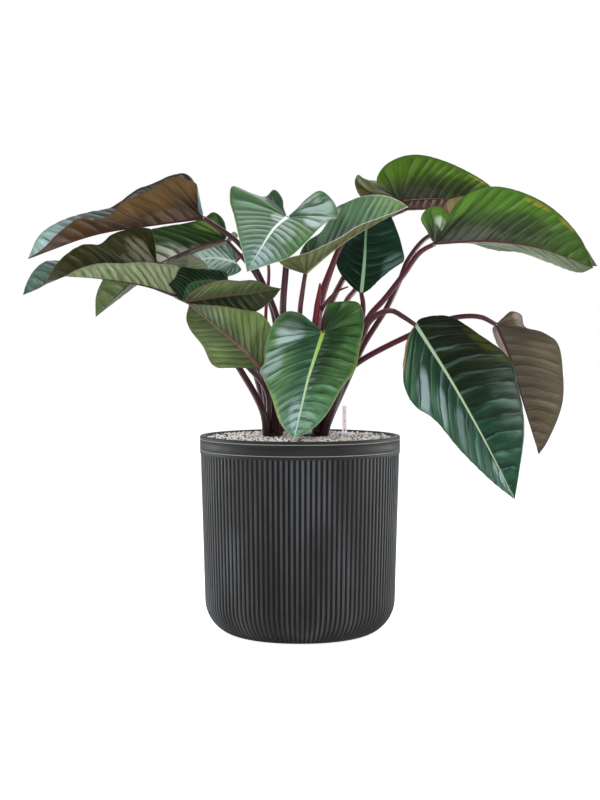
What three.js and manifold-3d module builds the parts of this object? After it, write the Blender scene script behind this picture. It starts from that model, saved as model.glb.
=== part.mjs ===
// A big-leaved philodendron with dark red stalks, growing in mineral granules in a round ribbed
// planter. Sizes are millimetres, +Z is up, the plant faces -Y, and the origin is the middle of
// the planter's foot.

import * as THREE from "three";
import { mergeVertices } from "three/addons/utils/BufferGeometryUtils.js";
import Module from "manifold-3d";

const wasm = await Module();
wasm.setup();

// Driving dimensions of the planter
const POT_HEIGHT = 340;
const POT_RADIUS = 170;
const WALL_RADIUS_TOP = 168.8;
const WALL_RADIUS_FOOT = 162;
const FOOT_ROUND = 62;
const FOOT_STEPS = 3;
const BAND_HEIGHT = 31;
const BAND_RADIUS_FOOT = 169.2;
const RIM_CHAMFER = 1.5;
const RIBS = 118;
const RIB_RELIEF = 3;
const FLOOR = 12;
const FLOOR_RADIUS = 100;
const KNEE = { radius: 139, height: 29 };
const INNER_RADIUS_TOP = 160.5;
const INNER_RADIUS_FOOT = 153;
const LINE_HEIGHTS = [315.6, 334.5];
const LINE_WIDTH = 1.6;
const LINE_DEPTH = 1.2;

// Driving dimensions of what fills it
const LINER_WALL = 2.5;
const LINER_TOP = 318;
const LINER_INSET = 3;
const LINER_FLARE = 2;
const LIP_GAP = 1.2;
const GRAIN_GAP = 0.6;
const GRAVEL_LEVEL = 335;
const GRAVEL_RELIEF = 1.6;
const GRAVEL_EDGE_GAP = 0.9;
const GRAVEL_RINGS = [1, 0.9, 0.76, 0.6, 0.42, 0.22];
const GAUGE_AT = { x: 76.7, y: 47 };
const TUBE_RADIUS = 4;
const TUBE_BORE = 3;
const TUBE_TOP = 387.5;
const TUBE_FOOT = 24;
const TUBE_CAP = 1.2;
const COLLAR_RADIUS = 11;
const COLLAR_FOOT = 334.3;
const COLLAR_RIM = 2;
const COLLAR_HEIGHT = 5;
const COLLAR_NECK = 1.6;
const FLOAT_LEVEL = 70;
const FLOAT_HEIGHT = 40;
const FLOAT_SHOULDER = 2;
const FLOAT_GAP = 0.5;
const FLOAT_ROD = 1;
const LOW_MARK = 345;

// Driving dimensions of the plant
const CROWN_FOOT = 292;
const CROWN_TOP = 346;
const STUMP_BEVEL = { share: 0.75, rise: 10 };
const STUMP_SHOULDER = { share: 0.62, drop: 4, depth: 2 };
const HALF_THICK = 0.4;
const RIB_DEPTH = { hub: 0.8, foot: 2, tip: 0.4 };
const PLEAT = 0.9;
const STALK_FOOT = { share: 0.8, rise: 6, swell: 1.15 };
const STALK_END_TAPER = 0.6;
const STALK_STEP = 42;
const STALK_SIDES = 6;

// Clearance between neighbouring pieces and round a blade's junction, how far joined bodies and
// cuts run past each other, and how close two corners are welded
const GAP = 0.3;
const JUNCTION_GAP = 0.4;
const OVERLAP = 1;
const WELD = 1e-4;

// Sides of the round pieces
const POT_SIDES = 48;
const LINER_SIDES = 36;
const CROWN_SIDES = 16;
const GAUGE_SIDES = 16;

// The plant's shape is given as it is seen from the front, from this far away and this high up
const EYE_DISTANCE = 3300;
const EYE_HEIGHT = 561;

// Each leaf is a list of places by hand: [across, height] on the upright plane through the
// planter's axis, and how far behind that plane the place lies. rib runs from the junction
// with the stalk to the tip, right and left are the margins of the two halves, seen from
// the upper face with the tip down, stalk rises from the crown and adds its radius, and arch is how
// much the right and left halves swell towards the upper face.
const RIGHT_LEAVES = {
  front: {
    rib: [[39, 514, -15], [14, 437, -75], [2, 386, -115], [-10, 334, -155]],
    right: [[15, 536, -10], [0, 547, -10], [-25, 549, -12], [-49, 524, -25], [-60, 483, -45],
      [-61, 462, -57], [-69, 449, -64], [-63, 438, -73], [-49, 405, -100], [-32, 357, -138]],
    left: [[44, 536, -5], [46, 561, 0], [70, 567, 0], [100, 564, -5], [109, 531, -20], [102, 492, -45],
      [94, 452, -70], [71, 420, -95], [43, 372, -125], [14, 345, -148]],
    stalk: [[51, 417, 30, 6], [58, 485, 28, 5], [51, 507, 8, 4.5]],
    arch: [0.05, 0.08],
  },
  upper_front: {
    rib: [[-22, 709, -30], [-44, 690, -95], [-68, 654, -185], [-90, 617, -265]],
    right: [[-30, 720, -10], [-30, 740, 10], [-44, 756, 25], [-59, 744, 15], [-85, 751, 5],
      [-113, 762, 0], [-119, 739, -40], [-112, 712, -90], [-102, 668, -180], [-95, 641, -230]],
    left: [[-8, 717, -5], [12, 740, 20], [34, 754, 30], [56, 737, 20], [64, 710, -10], [51, 705, -40],
      [33, 691, -75], [11, 668, -120], [-18, 642, -170], [-54, 629, -225]],
    stalk: [[-24, 451, 8, 6.5], [-29, 551, 12, 6], [-24, 622, 10, 5.5], [-20, 680, -8, 5]],
    arch: [0.08, 0.08],
  },
  boat: {
    rib: [[9, 614, 10], [53, 651, -15], [95, 680, -40], [183, 727, -100]],
    right: [[-6, 619, -4], [-24, 625, -12], [-37, 637, -20], [-15, 642, -35], [14, 650, -50],
      [43, 663, -60], [71, 677, -70], [95, 693, -80], [150, 714, -100]],
    left: [[-3, 634, 30], [10, 666, 50], [37, 686, 60], [61, 725, 60], [80, 735, 55], [103, 744, 40],
      [135, 747, 5], [168, 737, -70]],
    stalk: [[-2, 451, 25, 5], [0, 551, 22, 4.5], [3, 576, 18, 4.3]],
    arch: [0, -0.05],
  },
  upright: {
    rib: [[104, 580, 30], [109, 634, 55], [112, 685, 90], [120, 732, 140]],
    right: [[117, 587, 32], [141, 610, 40], [163, 627, 50], [176, 636, 60], [173, 659, 80],
      [164, 688, 105], [149, 717, 130]],
    left: [[87, 593, 33], [68, 615, 45], [61, 634, 60], [63, 658, 80], [76, 691, 105], [97, 722, 130]],
    stalk: [[68, 434, 15, 6], [102, 519, 20, 5], [107, 561, 25, 4.3]],
    arch: [-0.03, 0.05],
  },
  top_right: {
    rib: [[169, 737, 50], [230, 740, 110], [291, 737, 170], [352, 725, 230]],
    right: [[142, 756, 45], [130, 769, 45], [140, 793, 55], [167, 810, 75], [196, 815, 95],
      [233, 808, 130], [279, 789, 170], [323, 761, 210]],
    left: [[134, 740, 80], [106, 741, 108], [96, 756, 120], [93, 771, 125], [98, 781, 128],
      [106, 775, 133], [144, 769, 150], [203, 769, 180], [262, 762, 210], [313, 745, 230]],
    stalk: [[24, 451, 25, 9], [31, 553, 30, 8], [53, 624, 35, 5.5], [73, 668, 40, 4.5],
      [119, 713, 45, 4]],
    arch: [0.05, 0],
  },
  under_top_right: {
    rib: [[178, 722, 190], [237, 723, 240], [296, 717, 280], [349, 698, 315]],
    right: [[168, 730, 185], [174, 756, 190], [220, 781, 230], [279, 776, 270], [325, 742, 300]],
    left: [[169, 725, 220], [195, 737, 260], [246, 739, 300], [305, 727, 320]],
    stalk: [[31, 451, 35, 7], [42, 536, 50, 5.5], [74, 607, 80, 5], [119, 680, 140, 4.5],
      [154, 712, 180, 4]],
    arch: [0.05, 0],
  },
  right: {
    rib: [[229, 665, 20], [317, 669, -20], [407, 657, -55], [497, 624, -85]],
    right: [[215, 688, 15], [205, 708, 5], [220, 727, -5], [239, 726, -5], [253, 713, -3],
      [264, 731, -7], [281, 747, -10], [320, 761, -20], [369, 754, -40], [427, 725, -60],
      [476, 673, -80]],
    left: [[220, 678, 45], [246, 688, 80], [305, 675, 85], [373, 654, 50], [427, 631, 10],
      [475, 616, -50]],
    stalk: [[77, 451, 5, 6], [117, 541, 8, 5.2], [143, 571, 10, 5], [175, 612, 13, 4.7],
      [204, 651, 17, 4.5]],
    arch: [0.06, 0.05],
  },
  behind_right: {
    rib: [[263, 678, 140], [339, 678, 135], [424, 661, 120], [504, 627, 95]],
    right: [[249, 695, 135], [242, 718, 130], [249, 737, 125], [264, 743, 125], [305, 747, 120],
      [364, 739, 112], [424, 712, 105], [475, 669, 95]],
    left: [[264, 673, 170], [288, 669, 200], [312, 659, 210], [336, 653, 200], [365, 651, 180],
      [416, 642, 150], [467, 627, 115]],
    stalk: [[82, 437, 40, 5.5], [108, 493, 50, 5], [147, 556, 60, 4.7], [169, 602, 70, 4.5],
      [183, 637, 80, 4.2], [220, 678, 112, 4]],
    arch: [0.05, 0],
  },
  hanging: {
    rib: [[196, 527, -60], [255, 434, -90], [307, 343, -105], [366, 230, -100]],
    right: [[184, 508, -75], [178, 483, -90], [175, 442, -115], [180, 415, -130], [196, 389, -140],
      [228, 367, -145], [273, 314, -145], [328, 260, -125]],
    left: [[202, 536, -60], [221, 542, -55], [255, 541, -55], [306, 510, -60], [355, 471, -65],
      [371, 423, -70], [382, 354, -85], [373, 273, -97]],
    stalk: [[77, 442, 5, 6], [108, 512, -10, 5], [117, 531, -20, 4.8], [136, 547, -32, 4.6],
      [156, 551, -43, 4.5], [175, 541, -52, 4.2]],
    arch: [-0.05, 0.08],
  },
  far_right: {
    rib: [[333, 528, 60], [357, 471, 75], [381, 391, 85], [407, 307, 80]],
    right: [[345, 539, 60], [358, 550, 55], [375, 545, 52], [382, 524, 55], [413, 514, 60],
      [437, 497, 65], [447, 447, 72], [446, 392, 76], [421, 328, 82]],
    left: [[327, 520, 82], [333, 499, 108], [360, 447, 138], [384, 391, 140], [400, 340, 110]],
    stalk: [[68, 434, 15, 6], [95, 461, 20, 5.2], [182, 508, 35, 5], [258, 539, 48, 4.6],
      [306, 541, 55, 4.4]],
    arch: [0.05, 0],
  },
  back: {
    rib: [[115, 624, 140], [122, 646, 220], [127, 663, 300], [132, 675, 380]],
    right: [[132, 627, 130], [156, 641, 170], [168, 663, 230], [159, 688, 290], [149, 700, 340]],
    left: [[102, 631, 130], [78, 646, 170], [70, 666, 230], [76, 691, 290], [102, 702, 345]],
    stalk: [[54, 468, 60, 5.5], [78, 566, 95, 4.8], [93, 586, 110, 4.6], [109, 612, 130, 4]],
    arch: [0, 0],
  },
};

const LEFT_LEAVES = {
  top_left: {
    rib: [[-163, 708, 30], [-258, 695, 10], [-346, 680, -25], [-461, 639, -70]],
    right: [[-169, 725, 45], [-178, 749, 58], [-181, 772, 66], [-196, 783, 70], [-220, 779, 72],
      [-249, 766, 70], [-276, 756, 66], [-305, 735, 60], [-322, 725, 52], [-361, 717, 25],
      [-405, 703, 0], [-441, 679, -35]],
    left: [[-171, 720, 22], [-174, 749, 10], [-176, 766, 5], [-196, 774, 0], [-210, 778, -5],
      [-232, 769, -15], [-252, 756, -30], [-301, 734, -55], [-325, 711, -75], [-347, 705, -85],
      [-371, 708, -85], [-405, 686, -85], [-438, 654, -80]],
    stalk: [[-34, 434, 32, 5.5], [-36, 527, 42, 5], [-64, 600, 50, 4.7], [-102, 663, 42, 4.5]],
    arch: [0.05, 0.03],
  },
  left_tip: {
    rib: [[-243, 632, 100], [-319, 627, 60], [-397, 610, 15], [-470, 578, -20]],
    right: [[-251, 663, 130], [-302, 671, 110], [-353, 654, 80], [-404, 637, 50], [-433, 634, 25],
      [-453, 617, 5], [-465, 595, -10]],
    left: [[-244, 646, 95], [-247, 671, 85], [-253, 689, 75], [-285, 690, 60], [-319, 680, 40],
      [-339, 664, 25], [-368, 663, 10], [-397, 646, -5], [-416, 626, -12], [-435, 595, -18]],
    stalk: [[-65, 434, 45, 5], [-102, 527, 100, 4.5], [-161, 587, 122, 4], [-204, 617, 115, 4]],
    arch: [0.05, 0.05],
  },
  left_flat: {
    rib: [[-211, 576, 80], [-258, 592, 30], [-336, 605, -45], [-399, 610, -110]],
    right: [[-217, 587, 110], [-255, 607, 100], [-305, 619, 45], [-356, 615, -40]],
    left: [[-202, 590, 82], [-199, 602, 78], [-207, 627, 65], [-232, 631, 45], [-268, 634, 10],
      [-302, 632, -20], [-336, 632, -55], [-365, 626, -85], [-383, 619, -100]],
    stalk: [[-56, 413, 20, 5], [-95, 464, 45, 5], [-161, 549, 60, 4.5]],
    arch: [0, 0.05],
  },
  left_back: {
    rib: [[-125, 671, 90], [-192, 652, 125], [-272, 610, 165], [-347, 541, 190]],
    right: [[-112, 685, 105], [-105, 678, 115], [-122, 666, 130], [-156, 657, 150], [-204, 639, 170],
      [-255, 610, 190], [-309, 570, 200]],
    left: [[-125, 683, 85], [-129, 703, 80], [-146, 718, 85], [-163, 708, 92], [-191, 700, 105],
      [-234, 693, 130], [-259, 686, 145], [-305, 646, 170], [-334, 605, 183], [-346, 576, 190]],
    stalk: [[-44, 434, 40, 5], [-44, 539, 75, 4.5], [-75, 612, 95, 4]],
    arch: [0, 0.05],
  },
  left_inner: {
    rib: [[-109, 634, 240], [-144, 641, 265], [-187, 632, 295], [-255, 607, 330]],
    right: [[-103, 648, 245], [-115, 663, 255], [-144, 668, 275], [-180, 666, 295], [-220, 642, 325]],
    left: [[-100, 620, 230], [-119, 610, 230], [-161, 612, 255], [-212, 602, 295]],
    stalk: [[-58, 434, 60, 4], [-58, 544, 110, 3], [-54, 631, 170, 3], [-73, 668, 220, 3]],
    arch: [0, 0.05],
  },
  left_fold: {
    rib: [[-182, 587, 250], [-185, 612, 210], [-187, 632, 160], [-188, 648, 110]],
    right: [[-197, 590, 240], [-214, 607, 210], [-227, 620, 170], [-217, 634, 140], [-202, 642, 120]],
    left: [[-166, 592, 230], [-156, 619, 190], [-163, 634, 150], [-176, 642, 125]],
    stalk: [[-85, 468, 100, 5], [-144, 553, 190, 4.5]],
    arch: [0.1, 0.1],
  },
  low_tip: {
    rib: [[-192, 568, -30], [-139, 575, -15], [-85, 581, 0], [-32, 589, 8]],
    right: [[-190, 576, -35], [-168, 592, -32], [-129, 603, -20], [-102, 602, -8], [-78, 603, 0],
      [-51, 593, 6]],
    left: [[-183, 559, -22], [-161, 546, -8], [-119, 539, 2], [-76, 549, 6], [-46, 571, 8]],
    stalk: [[-63, 379, 5, 6], [-109, 463, 25, 5.5], [-161, 539, 10, 5], [-187, 565, -12, 4.5]],
    arch: [0.05, 0.05],
  },
  low_front: {
    rib: [[-65, 452, 5], [-104, 492, -50], [-143, 524, -110], [-188, 562, -180]],
    right: [[-78, 463, 5], [-91, 469, 0], [-111, 464, -5], [-134, 454, -15], [-148, 459, -25],
      [-165, 491, -70], [-187, 520, -125], [-193, 539, -155]],
    left: [[-53, 464, 6], [-43, 484, 3], [-44, 510, -3], [-54, 533, -12], [-68, 547, -22],
      [-95, 553, -45], [-129, 559, -90], [-158, 561, -135]],
    stalk: [[-26, 400, 10, 5], [-41, 437, 14, 4.5]],
    arch: [0.05, 0.05],
  },
  low_dark: {
    rib: [[-122, 598, 60], [-156, 602, 45], [-187, 595, 25], [-200, 568, 0]],
    right: [[-125, 615, 75], [-141, 620, 80], [-178, 622, 75], [-202, 624, 55], [-212, 607, 30],
      [-224, 592, 15], [-221, 575, 5]],
    left: [[-129, 583, 45], [-156, 573, 30], [-180, 568, 10]],
    stalk: [[-65, 451, 70, 5], [-82, 536, 110, 4.5], [-102, 583, 95, 4]],
    arch: [0.1, 0.1],
  },
};

// Dry remains on the right shoot: the open end of a red sheath, and a thin brown bract
const SHEATHS = [
  [[24, 500, 22, 7], [30, 560, 26, 6], [34, 598, 26, 1.5]],
  [[34, 545, 36, 3], [45, 566, 14, 3], [63, 584, 8, 2.2], [82, 592, 4, 1.2]],
];

// Each crown's middle, how far its stalks spread from it, and the half widths of its stump
const CROWNS = {
  right: { x: 20, y: 18, spread: [21, 10], half: [32, 23] },
  left: { x: -47, y: 12, spread: [11, 10], half: [20, 19] },
};

// How a blade is laid out: the share of its length that the first vein reaches ahead, how far
// the veins sweep, and the columns and strips of its surface
const VEIN_LEAD = 0.1;
const VEIN_SWEEP = 0.12;
const RIB_EASE = 1.05;
const HUB = 4.2;
const FAN_COLUMNS = 4;
const FAN_TURN = 0.5;
const NOTCH_TURN = 0.12;
const BODY_COLUMNS = 9;
const STRIPS = [0, 0.09, 0.52, 1];
const PLEAT_SHARE = [0, 0.2, 1, 0.6];
const CURVE_SAMPLES = 200;
const ARC_DIVISIONS = 600;
const RIB_STEP = 0.02;

const COLOURS = {
  planter: { color: 0x43484b, roughness: 0.6 },
  gravel: { color: 0xb9a898, roughness: 0.9 },
  liner: { color: 0x2a2a2a, roughness: 0.6 },
  granules: { color: 0x6b4a38, roughness: 0.95 },
  clear: { color: 0xcfcbd2, roughness: 0.3 },
  marker: { color: 0xb03020, roughness: 0.5 },
  stalk: { color: 0x451a22, roughness: 0.45 },
  leaf: { color: 0x1d4a2a, roughness: 0.3 },
};

// A closed geometry as a solid that can be cut and joined
function solidOf(geometry) {
  const bare = geometry.clone();
  bare.deleteAttribute("normal");
  bare.deleteAttribute("uv");
  const welded = mergeVertices(bare, WELD);
  const corners = welded.index.array;
  const kept = [];
  for (let i = 0; i < corners.length; i += 3) {
    const [a, b, c] = [corners[i], corners[i + 1], corners[i + 2]];
    if (a !== b && b !== c && c !== a) {
      kept.push(a, b, c);
    }
  }
  return new wasm.Manifold(new wasm.Mesh({
    numProp: 3,
    vertProperties: new Float32Array(welded.attributes.position.array),
    triVerts: new Uint32Array(kept),
  }));
}

// A solid back as a geometry to show
function geometryOf(solid) {
  const mesh = solid.getMesh();
  const geometry = new THREE.BufferGeometry();
  geometry.setAttribute("position", new THREE.BufferAttribute(mesh.vertProperties, 3));
  geometry.setIndex(new THREE.BufferAttribute(mesh.triVerts, 1));
  geometry.computeVertexNormals();
  return geometry;
}

// The biggest loose piece of a solid
function biggest(solid) {
  const pieces = solid.decompose();
  pieces.sort((a, b) => b.volume() - a.volume());
  return pieces[0];
}

// A profile of [radius, height] turned round the upright axis, with its middle at x, y
function turned(profile, sides, x = 0, y = 0) {
  const outline = profile.map(([r, z]) => new THREE.Vector2(r, z));
  const geometry = new THREE.LatheGeometry(outline, sides);
  geometry.rotateX(Math.PI / 2);
  geometry.translate(x, y, 0);
  return solidOf(geometry);
}

// An upright plug with an oval section, from its profile in shares of the half widths
function oval(profile, half, sides, x, y) {
  const outline = profile.map(([share, z]) => new THREE.Vector2(share, z));
  const geometry = new THREE.LatheGeometry(outline, sides);
  geometry.rotateX(Math.PI / 2);
  geometry.scale(half[0], half[1], 1);
  geometry.translate(x, y, 0);
  return solidOf(geometry);
}

// A closed surface through rings of points, with its two ends capped
function skinned(rings) {
  const sides = rings[0].length;
  const vertices = rings.flat();
  const first = vertices.length;
  const middle = (ring) => ring
    .reduce((sum, p) => sum.add(p), new THREE.Vector3())
    .divideScalar(sides);
  vertices.push(middle(rings[0]), middle(rings.at(-1)));
  const faces = [];
  const last = (rings.length - 1) * sides;
  for (let k = 0; k < sides; k += 1) {
    const next = (k + 1) % sides;
    faces.push(first, next, k);
    faces.push(first + 1, last + k, last + next);
    for (let row = 0; row < last; row += sides) {
      faces.push(row + k, row + next, row + sides + next);
      faces.push(row + k, row + sides + next, row + sides + k);
    }
  }
  const geometry = new THREE.BufferGeometry().setFromPoints(vertices);
  geometry.setIndex(faces);
  return solidOf(geometry);
}

// The lower corners of the planter's inside, drawn in by an inset for what stands in it
function innerFoot(inset, floor) {
  return [
    [0, floor],
    [FLOOR_RADIUS - inset * 2, floor],
    [KNEE.radius - inset * 1.5, KNEE.height + inset * 0.4],
    [INNER_RADIUS_FOOT - inset, FOOT_ROUND],
  ];
}

// The planter: a ribbed wall that rounds into its foot, under a smooth band with two lines
function planter() {
  const columns = RIBS * 2;
  const band = POT_HEIGHT - BAND_HEIGHT;
  const flat = WALL_RADIUS_FOOT - FOOT_ROUND;
  const rows = [];
  for (let i = 0; i <= FOOT_STEPS; i += 1) {
    const turn = (i / FOOT_STEPS) * (Math.PI / 2);
    rows.push({
      radius: flat + FOOT_ROUND * Math.sin(turn),
      height: FOOT_ROUND * (1 - Math.cos(turn)),
      relief: RIB_RELIEF * Math.sin(turn) ** 2,
    });
  }
  rows.push({ radius: WALL_RADIUS_TOP, height: band + OVERLAP, relief: RIB_RELIEF });
  const ribbed = skinned(rows.map((row) => {
    const ring = [];
    for (let k = 0; k < columns; k += 1) {
      const turn = (k / columns) * Math.PI * 2;
      const radius = row.radius - (k % 2) * row.relief;
      ring.push(new THREE.Vector3(radius * Math.cos(turn), radius * Math.sin(turn), row.height));
    }
    return ring;
  }));

  const rim = [[INNER_RADIUS_FOOT, band], [BAND_RADIUS_FOOT, band]];
  for (const height of LINE_HEIGHTS) {
    rim.push([POT_RADIUS, height - LINE_WIDTH / 2]);
    rim.push([POT_RADIUS - LINE_DEPTH, height]);
    rim.push([POT_RADIUS, height + LINE_WIDTH / 2]);
  }
  rim.push([POT_RADIUS, POT_HEIGHT - RIM_CHAMFER]);
  rim.push([POT_RADIUS - RIM_CHAMFER, POT_HEIGHT]);
  rim.push([INNER_RADIUS_FOOT, POT_HEIGHT], [INNER_RADIUS_FOOT, band]);

  const hollow = turned([
    ...innerFoot(0, FLOOR),
    [INNER_RADIUS_TOP, POT_HEIGHT - OVERLAP],
    [INNER_RADIUS_TOP + OVERLAP, POT_HEIGHT + OVERLAP],
    [0, POT_HEIGHT + OVERLAP],
  ], POT_SIDES);
  return ribbed.add(turned(rim, POT_SIDES)).subtract(hollow);
}

// The liner: a plain inner pot that holds the water, hung by a lip from the planter's wall
function liner() {
  const wall = LINER_WALL;
  const floor = FLOOR + GAP;
  const top = INNER_RADIUS_FOOT - LINER_INSET + LINER_FLARE;
  const lip = INNER_RADIUS_TOP - LIP_GAP;
  return turned([
    ...innerFoot(LINER_INSET, floor),
    [top, LINER_TOP - wall],
    [lip, LINER_TOP - wall],
    [lip, LINER_TOP],
    [top - wall, LINER_TOP],
    ...innerFoot(LINER_INSET + wall, floor + wall).reverse(),
  ], LINER_SIDES);
}

// Plain holes for the crowns and the gauge, in what fills the planter
function holes(foot, top) {
  const plug = [[0, foot], [1, foot], [1, top], [0, top]];
  let cut = oval(plug, [TUBE_RADIUS + GAP, TUBE_RADIUS + GAP], GAUGE_SIDES, GAUGE_AT.x, GAUGE_AT.y);
  for (const crown of Object.values(CROWNS)) {
    const deep = [[0, CROWN_FOOT - GAP], [1, CROWN_FOOT - GAP], [1, top], [0, top]];
    const half = crown.half.map((size) => size + GRAIN_GAP);
    cut = cut.add(oval(deep, half, CROWN_SIDES, crown.x, crown.y));
  }
  return cut;
}

// The mineral granules that the roots grow in, filling the liner
function granules() {
  const inset = LINER_INSET + LINER_WALL + GRAIN_GAP;
  const body = turned([
    ...innerFoot(inset, FLOOR + LINER_WALL + GRAIN_GAP),
    [INNER_RADIUS_FOOT - inset + LINER_FLARE, LINER_TOP],
    [0, LINER_TOP],
  ], LINER_SIDES);
  return body.subtract(holes(0, LINER_TOP + OVERLAP));
}

// A repeatable scatter between -1 and 1 for a pair of whole numbers
function scatter(a, b) {
  const wave = Math.sin(a * 127.1 + b * 311.7) * 43758.5453;
  return (wave - Math.floor(wave)) * 2 - 1;
}

// The gravel on top, a bumpy layer from wall to wall
function gravel() {
  const edge = INNER_RADIUS_TOP - GRAVEL_EDGE_GAP;
  const ring = (radius, height) => Array.from({ length: POT_SIDES }, (_, k) => {
    const turn = (k / POT_SIDES) * Math.PI * 2;
    return new THREE.Vector3(radius * Math.cos(turn), radius * Math.sin(turn), height(k));
  });
  const rings = [ring(edge, () => LINER_TOP + GAP)];
  GRAVEL_RINGS.forEach((share, row) => {
    rings.push(ring(edge * share, (k) => GRAVEL_LEVEL + GRAVEL_RELIEF * scatter(row, k)));
  });
  const seat = turned([
    [0, COLLAR_FOOT - GAP],
    [COLLAR_RADIUS + GAP, COLLAR_FOOT - GAP],
    [COLLAR_RADIUS + GAP, POT_HEIGHT],
    [0, POT_HEIGHT],
  ], GAUGE_SIDES, GAUGE_AT.x, GAUGE_AT.y);
  return skinned(rings).subtract(holes(LINER_TOP - OVERLAP, POT_HEIGHT)).subtract(seat);
}

// The water gauge's clear tube, closed at the top and open at its foot
function gaugeTube() {
  return turned([
    [TUBE_BORE, TUBE_FOOT],
    [TUBE_RADIUS, TUBE_FOOT],
    [TUBE_RADIUS, TUBE_TOP - TUBE_CAP / 2],
    [TUBE_RADIUS - TUBE_CAP / 2, TUBE_TOP],
    [0, TUBE_TOP],
    [0, TUBE_TOP - TUBE_CAP],
    [TUBE_BORE, TUBE_TOP - TUBE_CAP],
    [TUBE_BORE, TUBE_FOOT],
  ], GAUGE_SIDES, GAUGE_AT.x, GAUGE_AT.y);
}

// The collar that steadies the tube on the gravel
function gaugeCollar() {
  const bore = TUBE_RADIUS + GAP;
  return turned([
    [bore, COLLAR_FOOT],
    [COLLAR_RADIUS, COLLAR_FOOT],
    [COLLAR_RADIUS, COLLAR_FOOT + COLLAR_RIM],
    [bore + COLLAR_NECK, COLLAR_FOOT + COLLAR_HEIGHT],
    [bore, COLLAR_FOOT + COLLAR_HEIGHT],
    [bore, COLLAR_FOOT],
  ], GAUGE_SIDES, GAUGE_AT.x, GAUGE_AT.y);
}

// The float inside the tube, with the rod that it lifts
function gaugeFloat() {
  const body = TUBE_BORE - FLOAT_GAP;
  return turned([
    [0, FLOAT_LEVEL],
    [body, FLOAT_LEVEL],
    [body, FLOAT_LEVEL + FLOAT_HEIGHT],
    [FLOAT_ROD, FLOAT_LEVEL + FLOAT_HEIGHT + FLOAT_SHOULDER],
    [FLOAT_ROD, LOW_MARK],
    [0, LOW_MARK],
  ], GAUGE_SIDES, GAUGE_AT.x, GAUGE_AT.y);
}

// A place given as seen from the front, carried along its line of sight
function placed([across, height, behind]) {
  const reach = 1 + behind / EYE_DISTANCE;
  return new THREE.Vector3(across * reach, behind, EYE_HEIGHT + (height - EYE_HEIGHT) * reach);
}

// A smooth curve through places given by hand
function curveThrough(points) {
  const curve = new THREE.CatmullRomCurve3(points, false, "centripetal");
  curve.arcLengthDivisions = ARC_DIVISIONS;
  return curve;
}

// The point at a share of the way along evenly spaced points
function along(points, share) {
  const place = THREE.MathUtils.clamp(share, 0, 1) * (points.length - 1);
  const index = Math.min(Math.floor(place), points.length - 2);
  return points[index].clone().lerp(points[index + 1], place - index);
}

// The share of the way along a rising list at which it reaches a value
function shareAt(rising, value) {
  const index = rising.findIndex((reached) => reached >= value);
  if (index <= 0) {
    return 0;
  }
  const step = rising[index] - rising[index - 1];
  return (index - 1 + (value - rising[index - 1]) / step) / (rising.length - 1);
}

// One half of a blade as columns of points from the rib out to the margin. The fan's columns
// start round the hub at the junction, and the body's follow the side veins on to the tip.
function halfBlade(leaf, side) {
  const ribPlaces = leaf.rib.map(placed);
  const edgePlaces = leaf[side > 0 ? "right" : "left"].map(placed);
  const junction = ribPlaces[0];
  const tip = ribPlaces.at(-1);
  const ribCurve = curveThrough(ribPlaces);
  const edgeCurve = curveThrough([junction, ...edgePlaces, tip]);
  const rib = ribCurve.getSpacedPoints(CURVE_SAMPLES);
  const margin = edgeCurve.getSpacedPoints(CURVE_SAMPLES);
  const hub = HUB / ribCurve.getLength();

  const chord = tip.clone().sub(junction);
  let furthest = 0;
  const abreast = margin.map((point) => {
    furthest = Math.max(furthest, point.clone().sub(junction).dot(chord) / chord.lengthSq());
    return furthest;
  });
  const arch = leaf.arch[side > 0 ? 0 : 1];
  const column = (start, end, root, crease) => {
    const ahead = along(rib, root + RIB_STEP).sub(along(rib, root - RIB_STEP)).normalize();
    const vein = end.clone().sub(start);
    const reach = vein.length();
    const up = vein.clone().cross(ahead).normalize().multiplyScalar(side);
    const bend = start.clone().addScaledVector(vein, 0.5);
    bend.addScaledVector(ahead, root > hub ? -VEIN_SWEEP * reach : 0);
    bend.addScaledVector(up, arch * reach);
    const curve = new THREE.QuadraticBezierCurve3(start, bend, end);
    return STRIPS.map((share, j) => curve.getPoint(share)
      .addScaledVector(up, crease * PLEAT_SHARE[j]));
  };

  const fanEnd = shareAt(abreast, VEIN_LEAD);
  const rays = margin.map((point) => point.clone().sub(junction));
  let swept = 0;
  const turns = rays.map((ray, i) => {
    const seen = i > 0 && rays[i - 1].length() > HUB && ray.length() > HUB;
    swept += seen ? rays[i - 1].angleTo(ray) : 0;
    return swept;
  });
  const whole = turns[Math.round(fanEnd * CURVE_SAMPLES)];
  const notch = shareAt(turns, NOTCH_TURN * whole);
  const start = HUB / edgeCurve.getLength();
  const fan = [STRIPS.map((share) => along(margin, start + (notch - start) * share))];
  const fans = THREE.MathUtils.clamp(Math.round(whole / FAN_TURN), 1, FAN_COLUMNS);
  for (let k = 1; k < fans; k += 1) {
    const byTurn = shareAt(turns, whole * (NOTCH_TURN + (1 - NOTCH_TURN) * (k / fans)));
    const byLength = notch + (fanEnd - notch) * (k / fans);
    const end = along(margin, (byTurn + byLength) / 2);
    const hubPoint = junction.clone().addScaledVector(end.clone().sub(junction).normalize(), HUB);
    fan.push(column(hubPoint, end, 0, 0));
  }
  const body = [];
  for (let i = 0; i <= BODY_COLUMNS; i += 1) {
    const share = (i / BODY_COLUMNS) ** RIB_EASE;
    const root = hub + (1 - hub) * share;
    const end = along(margin, shareAt(abreast, VEIN_LEAD + (1 - VEIN_LEAD) * share));
    body.push(column(along(rib, root), i < BODY_COLUMNS ? end : tip, root, i % 2 ? PLEAT : -PLEAT));
  }
  return { fan, body };
}

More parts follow.
